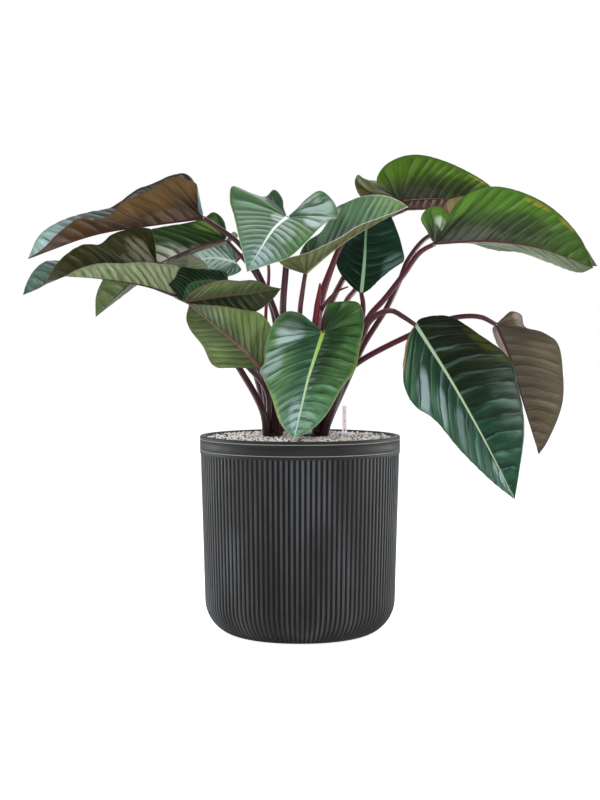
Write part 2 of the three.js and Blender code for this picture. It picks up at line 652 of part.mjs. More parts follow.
// A blade: both halves joined along the rib, thickened, with the rib proud underneath
function blade(leaf) {
  const halves = [halfBlade(leaf, 1), halfBlade(leaf, -1)];
  const points = [];
  const add = (point) => points.push(point) - 1;
  const rib = halves[0].body.map((column) => add(column[0]));
  const faces = [];
  const face = (...corners) => {
    if (new Set(corners).size === 3) {
      faces.push(corners);
    }
  };
  halves.forEach(({ fan, body }, half) => {
    const grid = fan.map((column) => column.map(add));
    body.forEach((column, i) => grid.push(column.map((point, j) => (
      j === 0 || i === BODY_COLUMNS ? rib[i] : add(point)))));
    for (let i = 0; i + 1 < grid.length; i += 1) {
      for (let j = 0; j + 1 < STRIPS.length; j += 1) {
        const [a, b] = [grid[i][j], grid[i + 1][j]];
        const [d, c] = [grid[i][j + 1], grid[i + 1][j + 1]];
        if (half === 0) {
          face(a, d, c);
          face(a, c, b);
        } else {
          face(a, c, d);
          face(a, b, c);
        }
      }
    }
  });
  const depth = points.map(() => HALF_THICK);
  rib.forEach((index, i) => {
    const tapered = THREE.MathUtils.lerp(RIB_DEPTH.foot, RIB_DEPTH.tip, i / BODY_COLUMNS);
    depth[index] += i === 0 ? RIB_DEPTH.hub : tapered;
  });
  return thickened(points, faces, depth);
}

// A sheet of faces as a closed solid: its upper skin, its lower skin and the edge between them
function thickened(points, faces, depth) {
  const sheet = new THREE.BufferGeometry().setFromPoints(points);
  sheet.setIndex(faces.flat());
  sheet.computeVertexNormals();
  const normals = points.map((_, i) => new THREE.Vector3()
    .fromBufferAttribute(sheet.attributes.normal, i));
  const below = points.length;
  const skins = [];
  const edges = new Set();
  for (const [a, b, c] of faces) {
    skins.push(a, b, c, below + c, below + b, below + a);
    [[a, b], [b, c], [c, a]].forEach(([from, to]) => edges.add(`${from},${to}`));
  }
  for (const edge of edges) {
    const [from, to] = edge.split(",").map(Number);
    if (!edges.has(`${to},${from}`)) {
      skins.push(to, from, below + from, to, below + from, below + to);
    }
  }
  const upper = points.map((point, i) => point.clone().addScaledVector(normals[i], HALF_THICK));
  const lower = points.map((point, i) => point.clone().addScaledVector(normals[i], -depth[i]));
  const geometry = new THREE.BufferGeometry().setFromPoints([...upper, ...lower]);
  geometry.setIndex(skins);
  return solidOf(geometry);
}

// A round stalk along a smooth path, its radius changing from place to place. It can be grown
// at its sides and its end, to clear a space for it.
function stalk(places, radii, growth) {
  const path = curveThrough(places);
  const steps = Math.max(3, Math.ceil(path.getLength() / STALK_STEP));
  const frames = path.computeFrenetFrames(steps, false);
  const rings = [];
  for (let i = 0; i <= steps; i += 1) {
    const share = path.getUtoTmapping(i / steps);
    const slot = share * (radii.length - 1);
    const index = Math.min(Math.floor(slot), radii.length - 2);
    const radius = THREE.MathUtils.lerp(radii[index], radii[index + 1], slot - index) + growth;
    const middle = path.getPoint(share);
    middle.addScaledVector(frames.tangents[i], i === steps ? growth : 0);
    rings.push(Array.from({ length: STALK_SIDES }, (_, k) => {
      const turn = (k / STALK_SIDES) * Math.PI * 2;
      return middle.clone()
        .addScaledVector(frames.normals[i], radius * Math.cos(turn))
        .addScaledVector(frames.binormals[i], radius * Math.sin(turn));
    }));
  }
  return skinned(rings);
}

// A leaf's stalk, from inside the crown up to the blade's junction
function leafStalk(leaf, crown, growth = 0) {
  const upper = leaf.stalk.map(placed);
  const lean = upper[0].clone().sub(new THREE.Vector3(crown.x, crown.y, 0)).setZ(0);
  lean.normalize();
  const foot = (share, height) => new THREE.Vector3(
    crown.x + lean.x * crown.spread[0] * share,
    crown.y + lean.y * crown.spread[1] * share,
    height,
  );
  const widths = leaf.stalk.map((place) => place[3]);
  const swollen = widths[0] * STALK_FOOT.swell;
  const radii = [widths[0], swollen, ...widths, widths.at(-1) - STALK_END_TAPER];
  const low = foot(STALK_FOOT.share, CROWN_FOOT + STALK_FOOT.rise);
  return stalk([low, foot(1, GRAVEL_LEVEL), ...upper, placed(leaf.rib[0])], radii, growth);
}

// A dry sheath beside the stalks, from its list of places
function sheath(places) {
  return stalk(places.map(placed), places.map((place) => place[3]), 0);
}

// A shoot: its stump in the gravel, with every stalk and sheath that rises from it
function shoot(crown, leaves, sheaths) {
  let body = oval([
    [0, CROWN_FOOT],
    [STUMP_BEVEL.share, CROWN_FOOT],
    [1, CROWN_FOOT + STUMP_BEVEL.rise],
    [1, GRAVEL_LEVEL - STUMP_SHOULDER.depth],
    [STUMP_SHOULDER.share, CROWN_TOP - STUMP_SHOULDER.drop],
    [0, CROWN_TOP],
  ], crown.half, CROWN_SIDES, crown.x, crown.y);
  for (const leaf of leaves) {
    body = body.add(leafStalk(leaf, crown));
  }
  for (const places of sheaths) {
    body = body.add(sheath(places));
  }
  return biggest(body);
}

// Put the pieces together
const plant = new THREE.Group();

function show(name, solid, look) {
  const material = new THREE.MeshStandardMaterial({ ...COLOURS[look], metalness: 0 });
  const mesh = new THREE.Mesh(geometryOf(solid), material);
  mesh.name = name;
  plant.add(mesh);
}

show("planter", planter(), "planter");
show("liner", liner(), "liner");
show("granules", granules(), "granules");
show("gravel", gravel(), "gravel");
show("gauge_tube", gaugeTube(), "clear");
show("gauge_collar", gaugeCollar(), "clear");
show("gauge_float", gaugeFloat(), "marker");

show("shoot_right", shoot(CROWNS.right, Object.values(RIGHT_LEAVES), SHEATHS), "stalk");
show("shoot_left", shoot(CROWNS.left, Object.values(LEFT_LEAVES), []), "stalk");
for (const [crown, leaves] of [[CROWNS.right, RIGHT_LEAVES], [CROWNS.left, LEFT_LEAVES]]) {
  for (const [name, leaf] of Object.entries(leaves)) {
    const space = leafStalk(leaf, crown, JUNCTION_GAP);
    show(`blade_${name}`, biggest(blade(leaf).subtract(space)), "leaf");
  }
}

export default plant;
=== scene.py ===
"""A potted philodendron with glossy arrow-shaped leaves on dark red stalks, in a ribbed planter.

Metres, +Z up, the plant faces -Y, and the origin is the middle of the planter's foot.
"""

import bpy
import numpy as np
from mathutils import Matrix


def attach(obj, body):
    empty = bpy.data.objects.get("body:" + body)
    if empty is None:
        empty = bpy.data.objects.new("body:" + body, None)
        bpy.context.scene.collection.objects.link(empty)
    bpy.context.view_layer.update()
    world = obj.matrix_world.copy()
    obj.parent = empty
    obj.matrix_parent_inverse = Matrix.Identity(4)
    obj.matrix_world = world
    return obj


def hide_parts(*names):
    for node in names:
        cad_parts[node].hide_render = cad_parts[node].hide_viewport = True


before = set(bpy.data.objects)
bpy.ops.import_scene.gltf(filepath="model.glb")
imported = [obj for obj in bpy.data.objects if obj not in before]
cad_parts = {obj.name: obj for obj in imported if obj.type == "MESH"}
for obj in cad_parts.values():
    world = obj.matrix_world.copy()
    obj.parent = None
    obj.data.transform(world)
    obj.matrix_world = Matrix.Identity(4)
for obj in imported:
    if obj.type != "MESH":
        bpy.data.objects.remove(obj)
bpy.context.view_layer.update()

# Camera and studio. The camera stands 3.3 m in front of the planter's axis, at the height of the
# leaves, and looks slightly down. The floor is pale and the light is soft and cool.

EYE_DISTANCE = 3.3
EYE_HEIGHT = 0.561
EYE_PITCH = 2.8
LENS = 87.4
FILM_HEIGHT = 36
FLOOR_RADIUS = 14.0
FLOOR_SIDES = 96
FLOOR_GLOW = 0.85
SKY_GLOW = 0.8
SKY_BEFORE = (0.16, 0.165, 0.17, 1)
SKY_BEHIND = (0.80, 0.88, 0.92, 1)
SKY_TURN = (-0.3, 0.8)
LAMP_TINT = (0.94, 0.98, 1.0)
LAMP_AIM = (0, 0, 0.5)
# Each lamp's name, place, width, power in watts and whether gloss mirrors it
LAMPS = (
    ("fill_front", (-0.3, -3.0, 0.8), 1.6, 58, False),
    ("soft_top", (0.1, -0.6, 2.8), 1.8, 10, False),
    ("soft_left", (-1.2, -0.6, 2.2), 0.7, 16, True),
    ("soft_right", (2.0, -1.2, 1.2), 0.7, 12, True),
    ("soft_back", (0.5, 1.8, 2.2), 1.8, 20, True),
    ("low_left", (-1.5, 0.35, 0.3), 0.6, 11, True),
    ("low_right", (1.5, 0.35, 0.3), 0.6, 12, True),
)


class Value:
    """An output of a node, which adds, subtracts, multiplies and divides like a number."""

    def __init__(self, node, output=0):
        self.tree = node.id_data
        self.socket = node.outputs[output]

    def __add__(self, other):
        return reckon("ADD", self, other)

    def __sub__(self, other):
        return reckon("SUBTRACT", self, other)

    def __rsub__(self, other):
        return reckon("SUBTRACT", other, self)

    def __mul__(self, other):
        return reckon("MULTIPLY", self, other)

    def __truediv__(self, other):
        return reckon("DIVIDE", self, other)


def tree_of(*given):
    """The node tree of the first value among these."""
    return next(value.tree for value in given if isinstance(value, Value))


def fill(socket, value):
    """Links a node's input to a value, or sets it to a constant."""
    if isinstance(value, Value):
        value.tree.links.new(value.socket, socket)
    else:
        socket.default_value = value


def add_node(tree, kind, inputs=None, **settings):
    """A node of a kind, with its settings by name and its inputs by name or number."""
    node = tree.nodes.new(kind)
    for key, value in settings.items():
        setattr(node, key, value)
    for key, value in (inputs or {}).items():
        fill(node.inputs[key], value)
    return node


def reckon(operation, first, second=0.0, clamp=False):
    """One calculation on two values, either of which may be a constant."""
    tree = tree_of(first, second)
    inputs = {0: first, 1: second}
    return Value(add_node(tree, "ShaderNodeMath", inputs, operation=operation, use_clamp=clamp))


def blend(share, first, second, blend_type="MIX"):
    """Two colours mixed by a share."""
    tree = tree_of(share, first, second)
    inputs = {0: share, 6: first, 7: second}
    return Value(add_node(tree, "ShaderNodeMix", inputs, data_type="RGBA", blend_type=blend_type), 2)


def ramp(value, low, high):
    """A value eased from 0 at low to 1 at high."""
    inputs = {"Value": value, "From Min": low, "From Max": high}
    kind = "ShaderNodeMapRange"
    return Value(add_node(value.tree, kind, inputs, interpolation_type="SMOOTHSTEP"), "Result")


def component(vector, axis):
    """A vector's value along one axis."""
    return Value(add_node(vector.tree, "ShaderNodeSeparateXYZ", {"Vector": vector}), axis)


def paint(code):
    """A colour written as six hexadecimal digits, in the linear values that shaders take."""
    parts = np.array([int(code[i : i + 2], 16) for i in (0, 2, 4)]) / 255
    linear = np.where(parts > 0.04045, ((parts + 0.055) / 1.055) ** 2.4, parts / 12.92)
    return (*linear.tolist(), 1.0)


def new_material(name):
    """A material, its node tree and its shader."""
    material = bpy.data.materials.new(name)
    material.use_nodes = True
    return material, material.node_tree, material.node_tree.nodes["Principled BSDF"]


def feed(shader, **inputs):
    """Links or sets a shader's inputs by name, with _ for each space."""
    for key, value in inputs.items():
        fill(shader.inputs[key.replace("_", " ")], value)


camera = bpy.data.objects.new("camera", bpy.data.cameras.new("camera"))
camera.data.lens = LENS
camera.data.sensor_fit = "VERTICAL"
camera.data.sensor_height = FILM_HEIGHT
camera.location = (0, -EYE_DISTANCE, EYE_HEIGHT)
camera.rotation_euler = (np.radians(90 - EYE_PITCH), 0, 0)
bpy.context.scene.collection.objects.link(camera)
bpy.context.scene.camera = camera
bpy.context.scene.view_settings.view_transform = "Standard"

bpy.ops.mesh.primitive_circle_add(vertices=FLOOR_SIDES, radius=FLOOR_RADIUS, fill_type="NGON")
floor = bpy.context.object
floor.name = "floor"
floor_paint, floor_tree, floor_shader = new_material("floor_paint")
floor_seen = Value(add_node(floor_tree, "ShaderNodeLightPath"), "Is Camera Ray")
feed(floor_shader, Base_Color=paint("e6e6e6"), Roughness=1.0, Specular_IOR_Level=0.0)
feed(floor_shader, Emission_Color=paint("ffffff"), Emission_Strength=floor_seen * FLOOR_GLOW)
floor.data.materials.append(floor_paint)

# The camera sees plain white, and a dome that is dark in front and cool and bright behind the
# plant lights the pieces
world = bpy.data.worlds.new("studio")
world.use_nodes = True
bpy.context.scene.world = world
sky = world.node_tree
sky.nodes.clear()
behind = ramp(component(Value(add_node(sky, "ShaderNodeTexCoord"), "Generated"), "Y"), *SKY_TURN)
dome = {"Color": blend(behind, SKY_BEFORE, SKY_BEHIND), "Strength": SKY_GLOW}
plain = {"Color": paint("ffffff"), "Strength": 1.0}
views = [Value(add_node(sky, "ShaderNodeLightPath"), "Is Camera Ray")]
views += [Value(add_node(sky, "ShaderNodeBackground", look)) for look in (dome, plain)]
mixed_sky = Value(add_node(sky, "ShaderNodeMixShader", dict(enumerate(views))))
add_node(sky, "ShaderNodeOutputWorld", {"Surface": mixed_sky})

for name, place, size, power, glossy in LAMPS:
    lamp = bpy.data.objects.new(name, bpy.data.lights.new(name, "AREA"))
    lamp.data.size = size
    lamp.data.energy = power
    lamp.data.color = LAMP_TINT
    lamp.visible_glossy = glossy
    lamp.location = place
    east, north, up = np.subtract(LAMP_AIM, place)
    lean = np.arctan2(np.hypot(east, north), -up)
    lamp.rotation_euler = (lean, 0, np.arctan2(north, east) - np.pi / 2)
    bpy.context.scene.collection.objects.link(lamp)


# Planter: one moulded shell of stone-like composite. Flat-topped ribs run down the wall and round
# under into the foot, below a smooth band that carries two fine scored lines.

POT_HEIGHT = 0.340
POT_RADIUS = 0.170
WALL_RADIUS_TOP = 0.1688
WALL_RADIUS_FOOT = 0.162
FOOT_ROUND = 0.062
FOOT_STEPS = 16
RIBS = 118
RIB_RELIEF = 0.0026
# How wide the ribs' flat tops and how steep their flanks are, and how they fade under the foot
RIB_WIDTH = 1.55
RIB_SLOPE = 0.8
RIB_FADE = 1.5
COLUMNS_A_RIB = 12
WALL_LAP = 0.001
BAND_HEIGHT = 0.031
BAND_LAP = (0.004, 0.0006)
# The band's lower edge, out from the pot's radius and up from the band's foot
BAND_EDGE = ((-0.0022, 0), (-0.0006, 0.0012), (0, 0.003))
LINE_HEIGHTS = (0.3156, 0.3345)
LINE_WIDTH = 0.0016
LINE_DEPTH = 0.0009
# A scored line, up in shares of its width and in by shares of its depth
LINE_SECTION = ((-0.5, 0), (-0.2, 1), (0.2, 1), (0.5, 0))
RIM_ROUND = 0.002
RIM_STEPS = 5
RIM_SIDES = 360
INNER_RADIUS_TOP = 0.1605
# The inner wall and the floor, in radius and height
INSIDE = ((INNER_RADIUS_TOP - 0.001, 0.3), (0.154, 0.07), (0.1, 0.014), (0.0005, 0.012))


def make_piece(name, points, faces, values, materials, slots=None, smooth=True):
    """A mesh object from arrays of points and faces, with its named values at the points, its
    materials and which of them each face has."""
    mesh = bpy.data.meshes.new(name)
    mesh.from_pydata(points.tolist(), [], [list(dict.fromkeys(face)) for face in faces.tolist()])
    mesh.polygons.foreach_set("use_smooth", np.full(len(mesh.polygons), smooth))
    for material in materials:
        mesh.materials.append(material)
    if slots is not None:
        mesh.polygons.foreach_set("material_index", slots.astype(np.int32))
    for key, value in values.items():
        attribute = mesh.attributes.new(key, "FLOAT", "POINT")
        attribute.data.foreach_set("value", np.asarray(value, np.float32).ravel())
    mesh.update()
    made = bpy.data.objects.new(name, mesh)
    bpy.context.scene.collection.objects.link(made)
    return made


def grid_faces(rows, columns, closed=True):
    """Four-sided faces between the rows of a grid, its columns closed round into a ring or not."""
    row, column = np.meshgrid(np.arange(rows - 1), np.arange(columns - (not closed)), indexing="ij")
    after = (column + 1) % columns
    corners = [row * columns + column, row * columns + after]
    corners += [(row + 1) * columns + after, (row + 1) * columns + column]
    return np.stack(corners, -1).reshape(-1, 4)


def turned(profile, sides, middle=(0, 0), relief=0.0):
    """A profile of radius and height carried round an upright axis, as points and faces. The
    relief is what each place of the profile lacks in radius at each angle."""
    turn = np.linspace(0, 2 * np.pi, sides, endpoint=False)
    radius, height = np.array(profile, float).T[..., None]
    reach = radius - relief
    x, y = middle[0] + reach * np.cos(turn), middle[1] + reach * np.sin(turn)
    points = np.stack([x, y, np.broadcast_to(height, x.shape)], -1)
    return points.reshape(-1, 3), grid_faces(len(profile), sides)


def merged(parts):
    """The points, faces and named values of several parts as one. Each part is a tuple of the
    three, and a value that is one number holds for its whole part."""
    starts = np.cumsum([0] + [len(points) for points, _, _ in parts])
    points = np.vstack([points for points, _, _ in parts])
    faces = np.vstack([faces + start for (_, faces, _), start in zip(parts, starts)])
    values = {
        key: np.concatenate([np.broadcast_to(named[key], len(own)) for own, _, named in parts])
        for key in parts[0][2]
    }
    return points, faces, values


def read(tree, name):
    """The value that the mesh carries under this name."""
    return Value(add_node(tree, "ShaderNodeAttribute", attribute_name=name), "Fac")


def noise(vector, scale, detail):
    """Soft noise between 0 and 1."""
    inputs = {"Vector": vector, "Scale": scale, "Detail": detail}
    return Value(add_node(vector.tree, "ShaderNodeTexNoise", inputs), "Fac")


def object_place(tree, stretch=(1, 1, 1)):
    """A point's own place on the piece, stretched by a factor along each axis."""
    place = Value(add_node(tree, "ShaderNodeTexCoord"), "Object")
    return Value(add_node(tree, "ShaderNodeMapping", {"Vector": place, "Scale": stretch}))


def bump(height, strength, distance):
    """The surface normal after a fine relief."""
    inputs = {"Height": height, "Strength": strength, "Distance": distance}
    return Value(add_node(height.tree, "ShaderNodeBump", inputs), "Normal")


def composite_material():
    """Slate grey on the crests and brown-black in the grooves, clouded and finely pitted. The
    grooves' brown-black is painted shade, the crests' slate grey is the planter's own colour
    with some painted highlight, and the pale scored lines are a painted highlight.
    """
    material, tree, shader = new_material("ribbed_composite")
    drawn = object_place(tree, (1, 1, 0.3))
    cloud = noise(drawn, 14, 5)
    smudge = ramp(noise(drawn, 11, 3), 0.45, 0.65)
    grain = noise(object_place(tree), 900, 3)
    # Painted shade in the grooves and painted highlight on the crests, by how far each point stands out
    lit_crests = ramp(read(tree, "crest") + cloud * 0.6, 0.8, 1.22)
    tone = ramp(cloud, 0.3, 0.7)
    colour = blend(lit_crests, paint("0a0706"), blend(tone, paint("262423"), paint("535457")))
    colour = blend(smudge * 0.7, colour, paint("1a1615"))
    colour = blend(read(tree, "rim"), colour, blend(tone, paint("0f0e0d"), paint("1e1d1c")))
    # Painted highlight: the scored lines are painted pale
    colour = blend(read(tree, "scored"), colour, paint("a5a19b"))
    colour = blend(grain * 0.25, colour, paint("12100f"))
    feed(shader, Base_Color=colour, Roughness=cloud * 0.3 + 0.42, Normal=bump(grain, 0.25, 0.0006))
    return material


def planter():
    """The wall's radius at a height, less a groove's depth that swings with the angle, carried
    round in fine steps, the band, the rim and the inner wall as a turned profile, and a flat
    disc under the foot."""
    bend = np.radians(np.linspace(0, 90, FOOT_STEPS))
    foot, band = WALL_RADIUS_FOOT - FOOT_ROUND, POT_HEIGHT - BAND_HEIGHT
    radius = foot + FOOT_ROUND * np.sin(bend)
    radius = np.append(radius, [0.5 * (WALL_RADIUS_FOOT + WALL_RADIUS_TOP), WALL_RADIUS_TOP])
    height = FOOT_ROUND * (1 - np.cos(bend))
    height = np.append(height, [0.5 * (FOOT_ROUND + band), band + WALL_LAP])
    relief = RIB_RELIEF * np.append(np.sin(bend) ** RIB_FADE, [1, 1])
    turn = np.linspace(0, 2 * np.pi, RIBS * COLUMNS_A_RIB, endpoint=False)
    swing = 0.5 + 0.5 * np.cos(turn * RIBS)
    crest = np.clip(RIB_WIDTH * swing ** RIB_SLOPE, 0, 1) ** 2
    relief = relief[:, None] * (1 - crest)
    wall = turned(np.stack([radius, height], -1), len(turn), relief=relief)

    profile = [(WALL_RADIUS_TOP - BAND_LAP[0], band - BAND_LAP[1])]
    profile += [(POT_RADIUS + out, band + up) for out, up in BAND_EDGE]
    scored = [0] * len(profile)
    for line in LINE_HEIGHTS:
        profile += [(POT_RADIUS - deep * LINE_DEPTH, line + up * LINE_WIDTH) for up, deep in LINE_SECTION]
        scored += [deep for _, deep in LINE_SECTION]
    bend = np.radians(np.linspace(0, 90, RIM_STEPS))
    near, far = RIM_ROUND * (1 - np.sin(bend)), RIM_ROUND * (1 - np.cos(bend))
    profile += zip(POT_RADIUS - far, POT_HEIGHT - near)
    profile += zip(INNER_RADIUS_TOP + near, POT_HEIGHT - far)
    profile += INSIDE
    scored += [0] * (len(profile) - len(scored))
    parts = [
        (*wall, {"crest": np.tile(crest, len(radius)), "rim": 0, "scored": 0}),
        (*turned(profile, RIM_SIDES), {"crest": 1, "rim": 1, "scored": np.repeat(scored, RIM_SIDES)}),
        (*turned([(INSIDE[-1][0], 0), (foot, 0)], RIM_SIDES), {"crest": 0, "rim": 1, "scored": 0}),
    ]
    made = make_piece("planter_shell", *merged(parts), [composite_material()])
    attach(made, "root")
    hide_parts("planter")


planter()


# Liner and granules: the black inner pot that holds the water, and the baked clay granules in it.
# Both are hidden under the gravel, so their solids stay as they are, with a finish of their own.

def dress(node, material):
    """Gives an imported solid its finish."""
    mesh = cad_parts[node].data
    mesh.materials.clear()
    mesh.materials.append(material)


def plain_material(name, code, other, scale, rough, relief):
    """Two colours clouded into each other at a scale, with a fine relief."""
    material, tree, shader = new_material(name)
    cloud = noise(object_place(tree), scale, 4)
    feed(shader, Base_Color=blend(cloud, paint(code), paint(other)))
    feed(shader, Roughness=rough, Normal=bump(cloud, 0.6, relief))
    return material


dress("liner", plain_material("black_plastic", "1c1c1c", "2c2c2c", 60, 0.5, 0.0002))
dress("granules", plain_material("baked_clay", "4a2f22", "9a6a4c", 220, 0.9, 0.002))


# Gravel: a loose layer of white, tan and grey chips on the granules. The solid is the bed
# between them, painted dark as the shade in the gaps between the chips, and the chips that lie
# on it are scattered on a jittered grid.

GRAVEL_LEVEL = 0.335
CHIP_SPACING = 0.0047
# The gap from row to row as a share of that, and how many more rows it takes at each end
CHIP_ROW = 0.86
CHIP_ROWS_MORE = 6
CHIP_SHIFT = 0.0013
CHIP_SIZE = (0.0018, 0.0033)
CHIP_DENTS = (0.85, 1.12)
CHIP_FLATNESS = 0.75
CHIP_LEVELS = (-0.0008, 0.0018)
CHIP_WALL_GAP = 0.0032
CHIP_COLLAR_GAP = 0.0008
CHIP_CROWN_LAP = 0.004
# A little more than the lump's edge, in its radius
LUMP_EDGE = 1.2
CHIP_COLOURS = ("ffffff", "f2f0ee", "e6c6aa", "fff6ea", "a88a78", "ffffff", "54463f", "ffffff")
CROWNS = {
    "right": {"at": (0.020, 0.018), "spread": (0.021, 0.010), "half": (0.032, 0.023)},
    "left": {"at": (-0.047, 0.012), "spread": (0.011, 0.010), "half": (0.020, 0.019)},
}
GAUGE_AT = (0.0767, 0.047)
COLLAR_RADIUS = 0.011


def chip_material():
    """Each chip takes one of a few stone colours from its own number, dusty and matt."""
    material, tree, shader = new_material("gravel_chips")
    stones = add_node(tree, "ShaderNodeValToRGB", {"Fac": read(tree, "tone")})
    steps = stones.color_ramp.elements
    stones.color_ramp.interpolation = "CONSTANT"
    while len(steps) < len(CHIP_COLOURS):
        steps.new(0.5)
    for index, code in enumerate(CHIP_COLOURS):
        steps[index].position = index / len(CHIP_COLOURS)
        steps[index].color = paint(code)
    dust = noise(object_place(tree), 700, 3)
    colour = blend(dust * 0.08, Value(stones, "Color"), paint("8f7f74"))
    feed(shader, Base_Color=colour, Roughness=0.8, Normal=bump(dust, 0.4, 0.0004))
    return material


def lump():
    """The corners and faces of a twenty-sided body of radius 1. Its corners are those of three
    golden rectangles, and its faces join the corners that lie next to each other."""
    golden = (1 + 5 ** 0.5) / 2
    ends = [(a, b * golden) for a in (-1, 1) for b in (-1, 1)]
    corners = [(0, a, b) for a, b in ends] + [(a, b, 0) for a, b in ends] + [(b, 0, a) for a, b in ends]
    corners = np.array(corners) / np.hypot(1, golden)
    gaps = np.linalg.norm(corners[:, None] - corners, axis=-1)
    near = gaps < LUMP_EDGE
    triples = [(a, b, c) for a in range(len(corners)) for b in range(a) for c in range(b)]
    faces = np.array([(a, b, c) for a, b, c in triples if near[a, b] and near[b, c] and near[a, c]])
    first, second, third = corners[faces.T]
    inward = (np.cross(second - first, third - first) * first).sum(-1) < 0
    faces[inward] = faces[inward][:, [0, 2, 1]]
    return corners, faces


def chips():
    """Lumps squashed by three random half sizes and turned at random, on a grid whose places
    are shifted at random, wherever the crowns and the gauge leave room."""
    random = np.random.default_rng(7)
    count = int(INNER_RADIUS_TOP / CHIP_SPACING) + 1
    rows = count + CHIP_ROWS_MORE
    column, row = np.meshgrid(np.arange(-count, count + 1), np.arange(-rows, rows + 1))
    x = (column + 0.5 * (row % 2)).ravel() * CHIP_SPACING
    y = row.ravel() * CHIP_SPACING * CHIP_ROW
    x = x + random.uniform(-CHIP_SHIFT, CHIP_SHIFT, x.shape)
    y = y + random.uniform(-CHIP_SHIFT, CHIP_SHIFT, y.shape)
    places = np.stack([x, y], -1)
    free = np.hypot(x, y) < INNER_RADIUS_TOP - CHIP_WALL_GAP
    free &= np.hypot(*(places - GAUGE_AT).T) > COLLAR_RADIUS + CHIP_COLLAR_GAP
    for crown in CROWNS.values():
        away = (places - crown["at"]) / (np.array(crown["half"]) - CHIP_CROWN_LAP)
        free &= (away ** 2).sum(-1) > 1
    places = places[free]
    amount = len(places)
    corners, shell = lump()
    sizes = random.uniform(*CHIP_SIZE, (amount, 1, 3)) * [1, 1, CHIP_FLATNESS]
    turns = np.linalg.qr(random.normal(size=(amount, 3, 3)))[0]
    turns *= np.sign(np.linalg.det(turns))[:, None, None]
    bodies = corners * sizes * random.uniform(*CHIP_DENTS, (amount, len(corners), 1))
    bodies = np.einsum("nij,nkj->nki", turns, bodies)
    levels = GRAVEL_LEVEL + random.uniform(*CHIP_LEVELS, (amount, 1))
    bodies += np.hstack([places, levels])[:, None]
    faces = (shell + len(corners) * np.arange(amount)[:, None, None]).reshape(-1, 3)
    tones = np.repeat(random.uniform(0, 1, amount), len(corners))
    bodies = bodies.reshape(-1, 3)
    made = make_piece("gravel_chips", bodies, faces, {"tone": tones}, [chip_material()], smooth=False)
    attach(made, "root")


# Painted shade: the bed's dark colour stands for the shade in the gaps between the chips
dress("gravel", plain_material("gravel_bed", "2b2320", "7d6a5e", 500, 0.95, 0.002))
chips()


# Water gauge: a clear plastic tube, closed on top, whose inside strip shows through milky grey. It
# stands in a clear collar on the gravel, and three plain dots mark its levels.

TUBE_RADIUS = 0.004
TUBE_BORE = 0.003
TUBE_TOP = 0.3875
TUBE_FOOT = 0.024
TUBE_CAP = 0.0012
TUBE_RING = 0.31
# The tube's rounded top edge, in from its radius and down from its top
TUBE_ROUND = ((0, 0.0008), (0.0003, 0.0002), (0.0008, 0))
COLLAR_FOOT = 0.3343
COLLAR_BORE = TUBE_RADIUS + 0.0003
# The collar's edge, in from its radius, and its neck, out from its bore, both up from its foot
COLLAR_RIM = ((0, 0.0016), (0.0006, 0.0022))
COLLAR_NECK = ((0.004, 0.0032), (0.0016, 0.005), (0, 0.005))
FLOAT_LEVEL = 0.070
FLOAT_HEIGHT = 0.04
FLOAT_SHOULDER = 0.002
FLOAT_GAP = 0.0005
FLOAT_ROD = 0.001
LOW_MARK = 0.345
AXIS = 0.0001
GAUGE_SIDES = 40
DOT_SIZE = 0.0016
DOTS = ((0.3766, "d8c04a"), (0.3610, "d8bc48"), (0.3453, "c02a12"))


def tube_material():
    """Milky clear plastic with a round dot at each level on the side that faces the front, and a
    faint painted glow that lights it up.
    """
    material, tree, shader = new_material("gauge_plastic")
    place = object_place(tree)
    across = component(place, "X") - GAUGE_AT[0]
    front = reckon("LESS_THAN", component(place, "Y"), GAUGE_AT[1])
    colour = paint("dedada")
    for level, code in DOTS:
        above = component(place, "Z") - level
        inside = reckon("LESS_THAN", across * across + above * above, DOT_SIZE ** 2)
        colour = blend(inside * front, colour, paint(code))
    # Painted light: the faint emission makes the tube and its dots glow
    feed(shader, Base_Color=colour, Roughness=0.3, Emission_Color=colour, Emission_Strength=0.35)
    return material


def collar_material():
    """Greyish clear plastic, faintly clouded."""
    material, tree, shader = new_material("collar_plastic")
    shade = noise(object_place(tree), 260, 2)
    feed(shader, Base_Color=blend(shade, paint("d5d1dc"), paint("f2f0f5")), Roughness=0.25, Alpha=0.8)
    return material


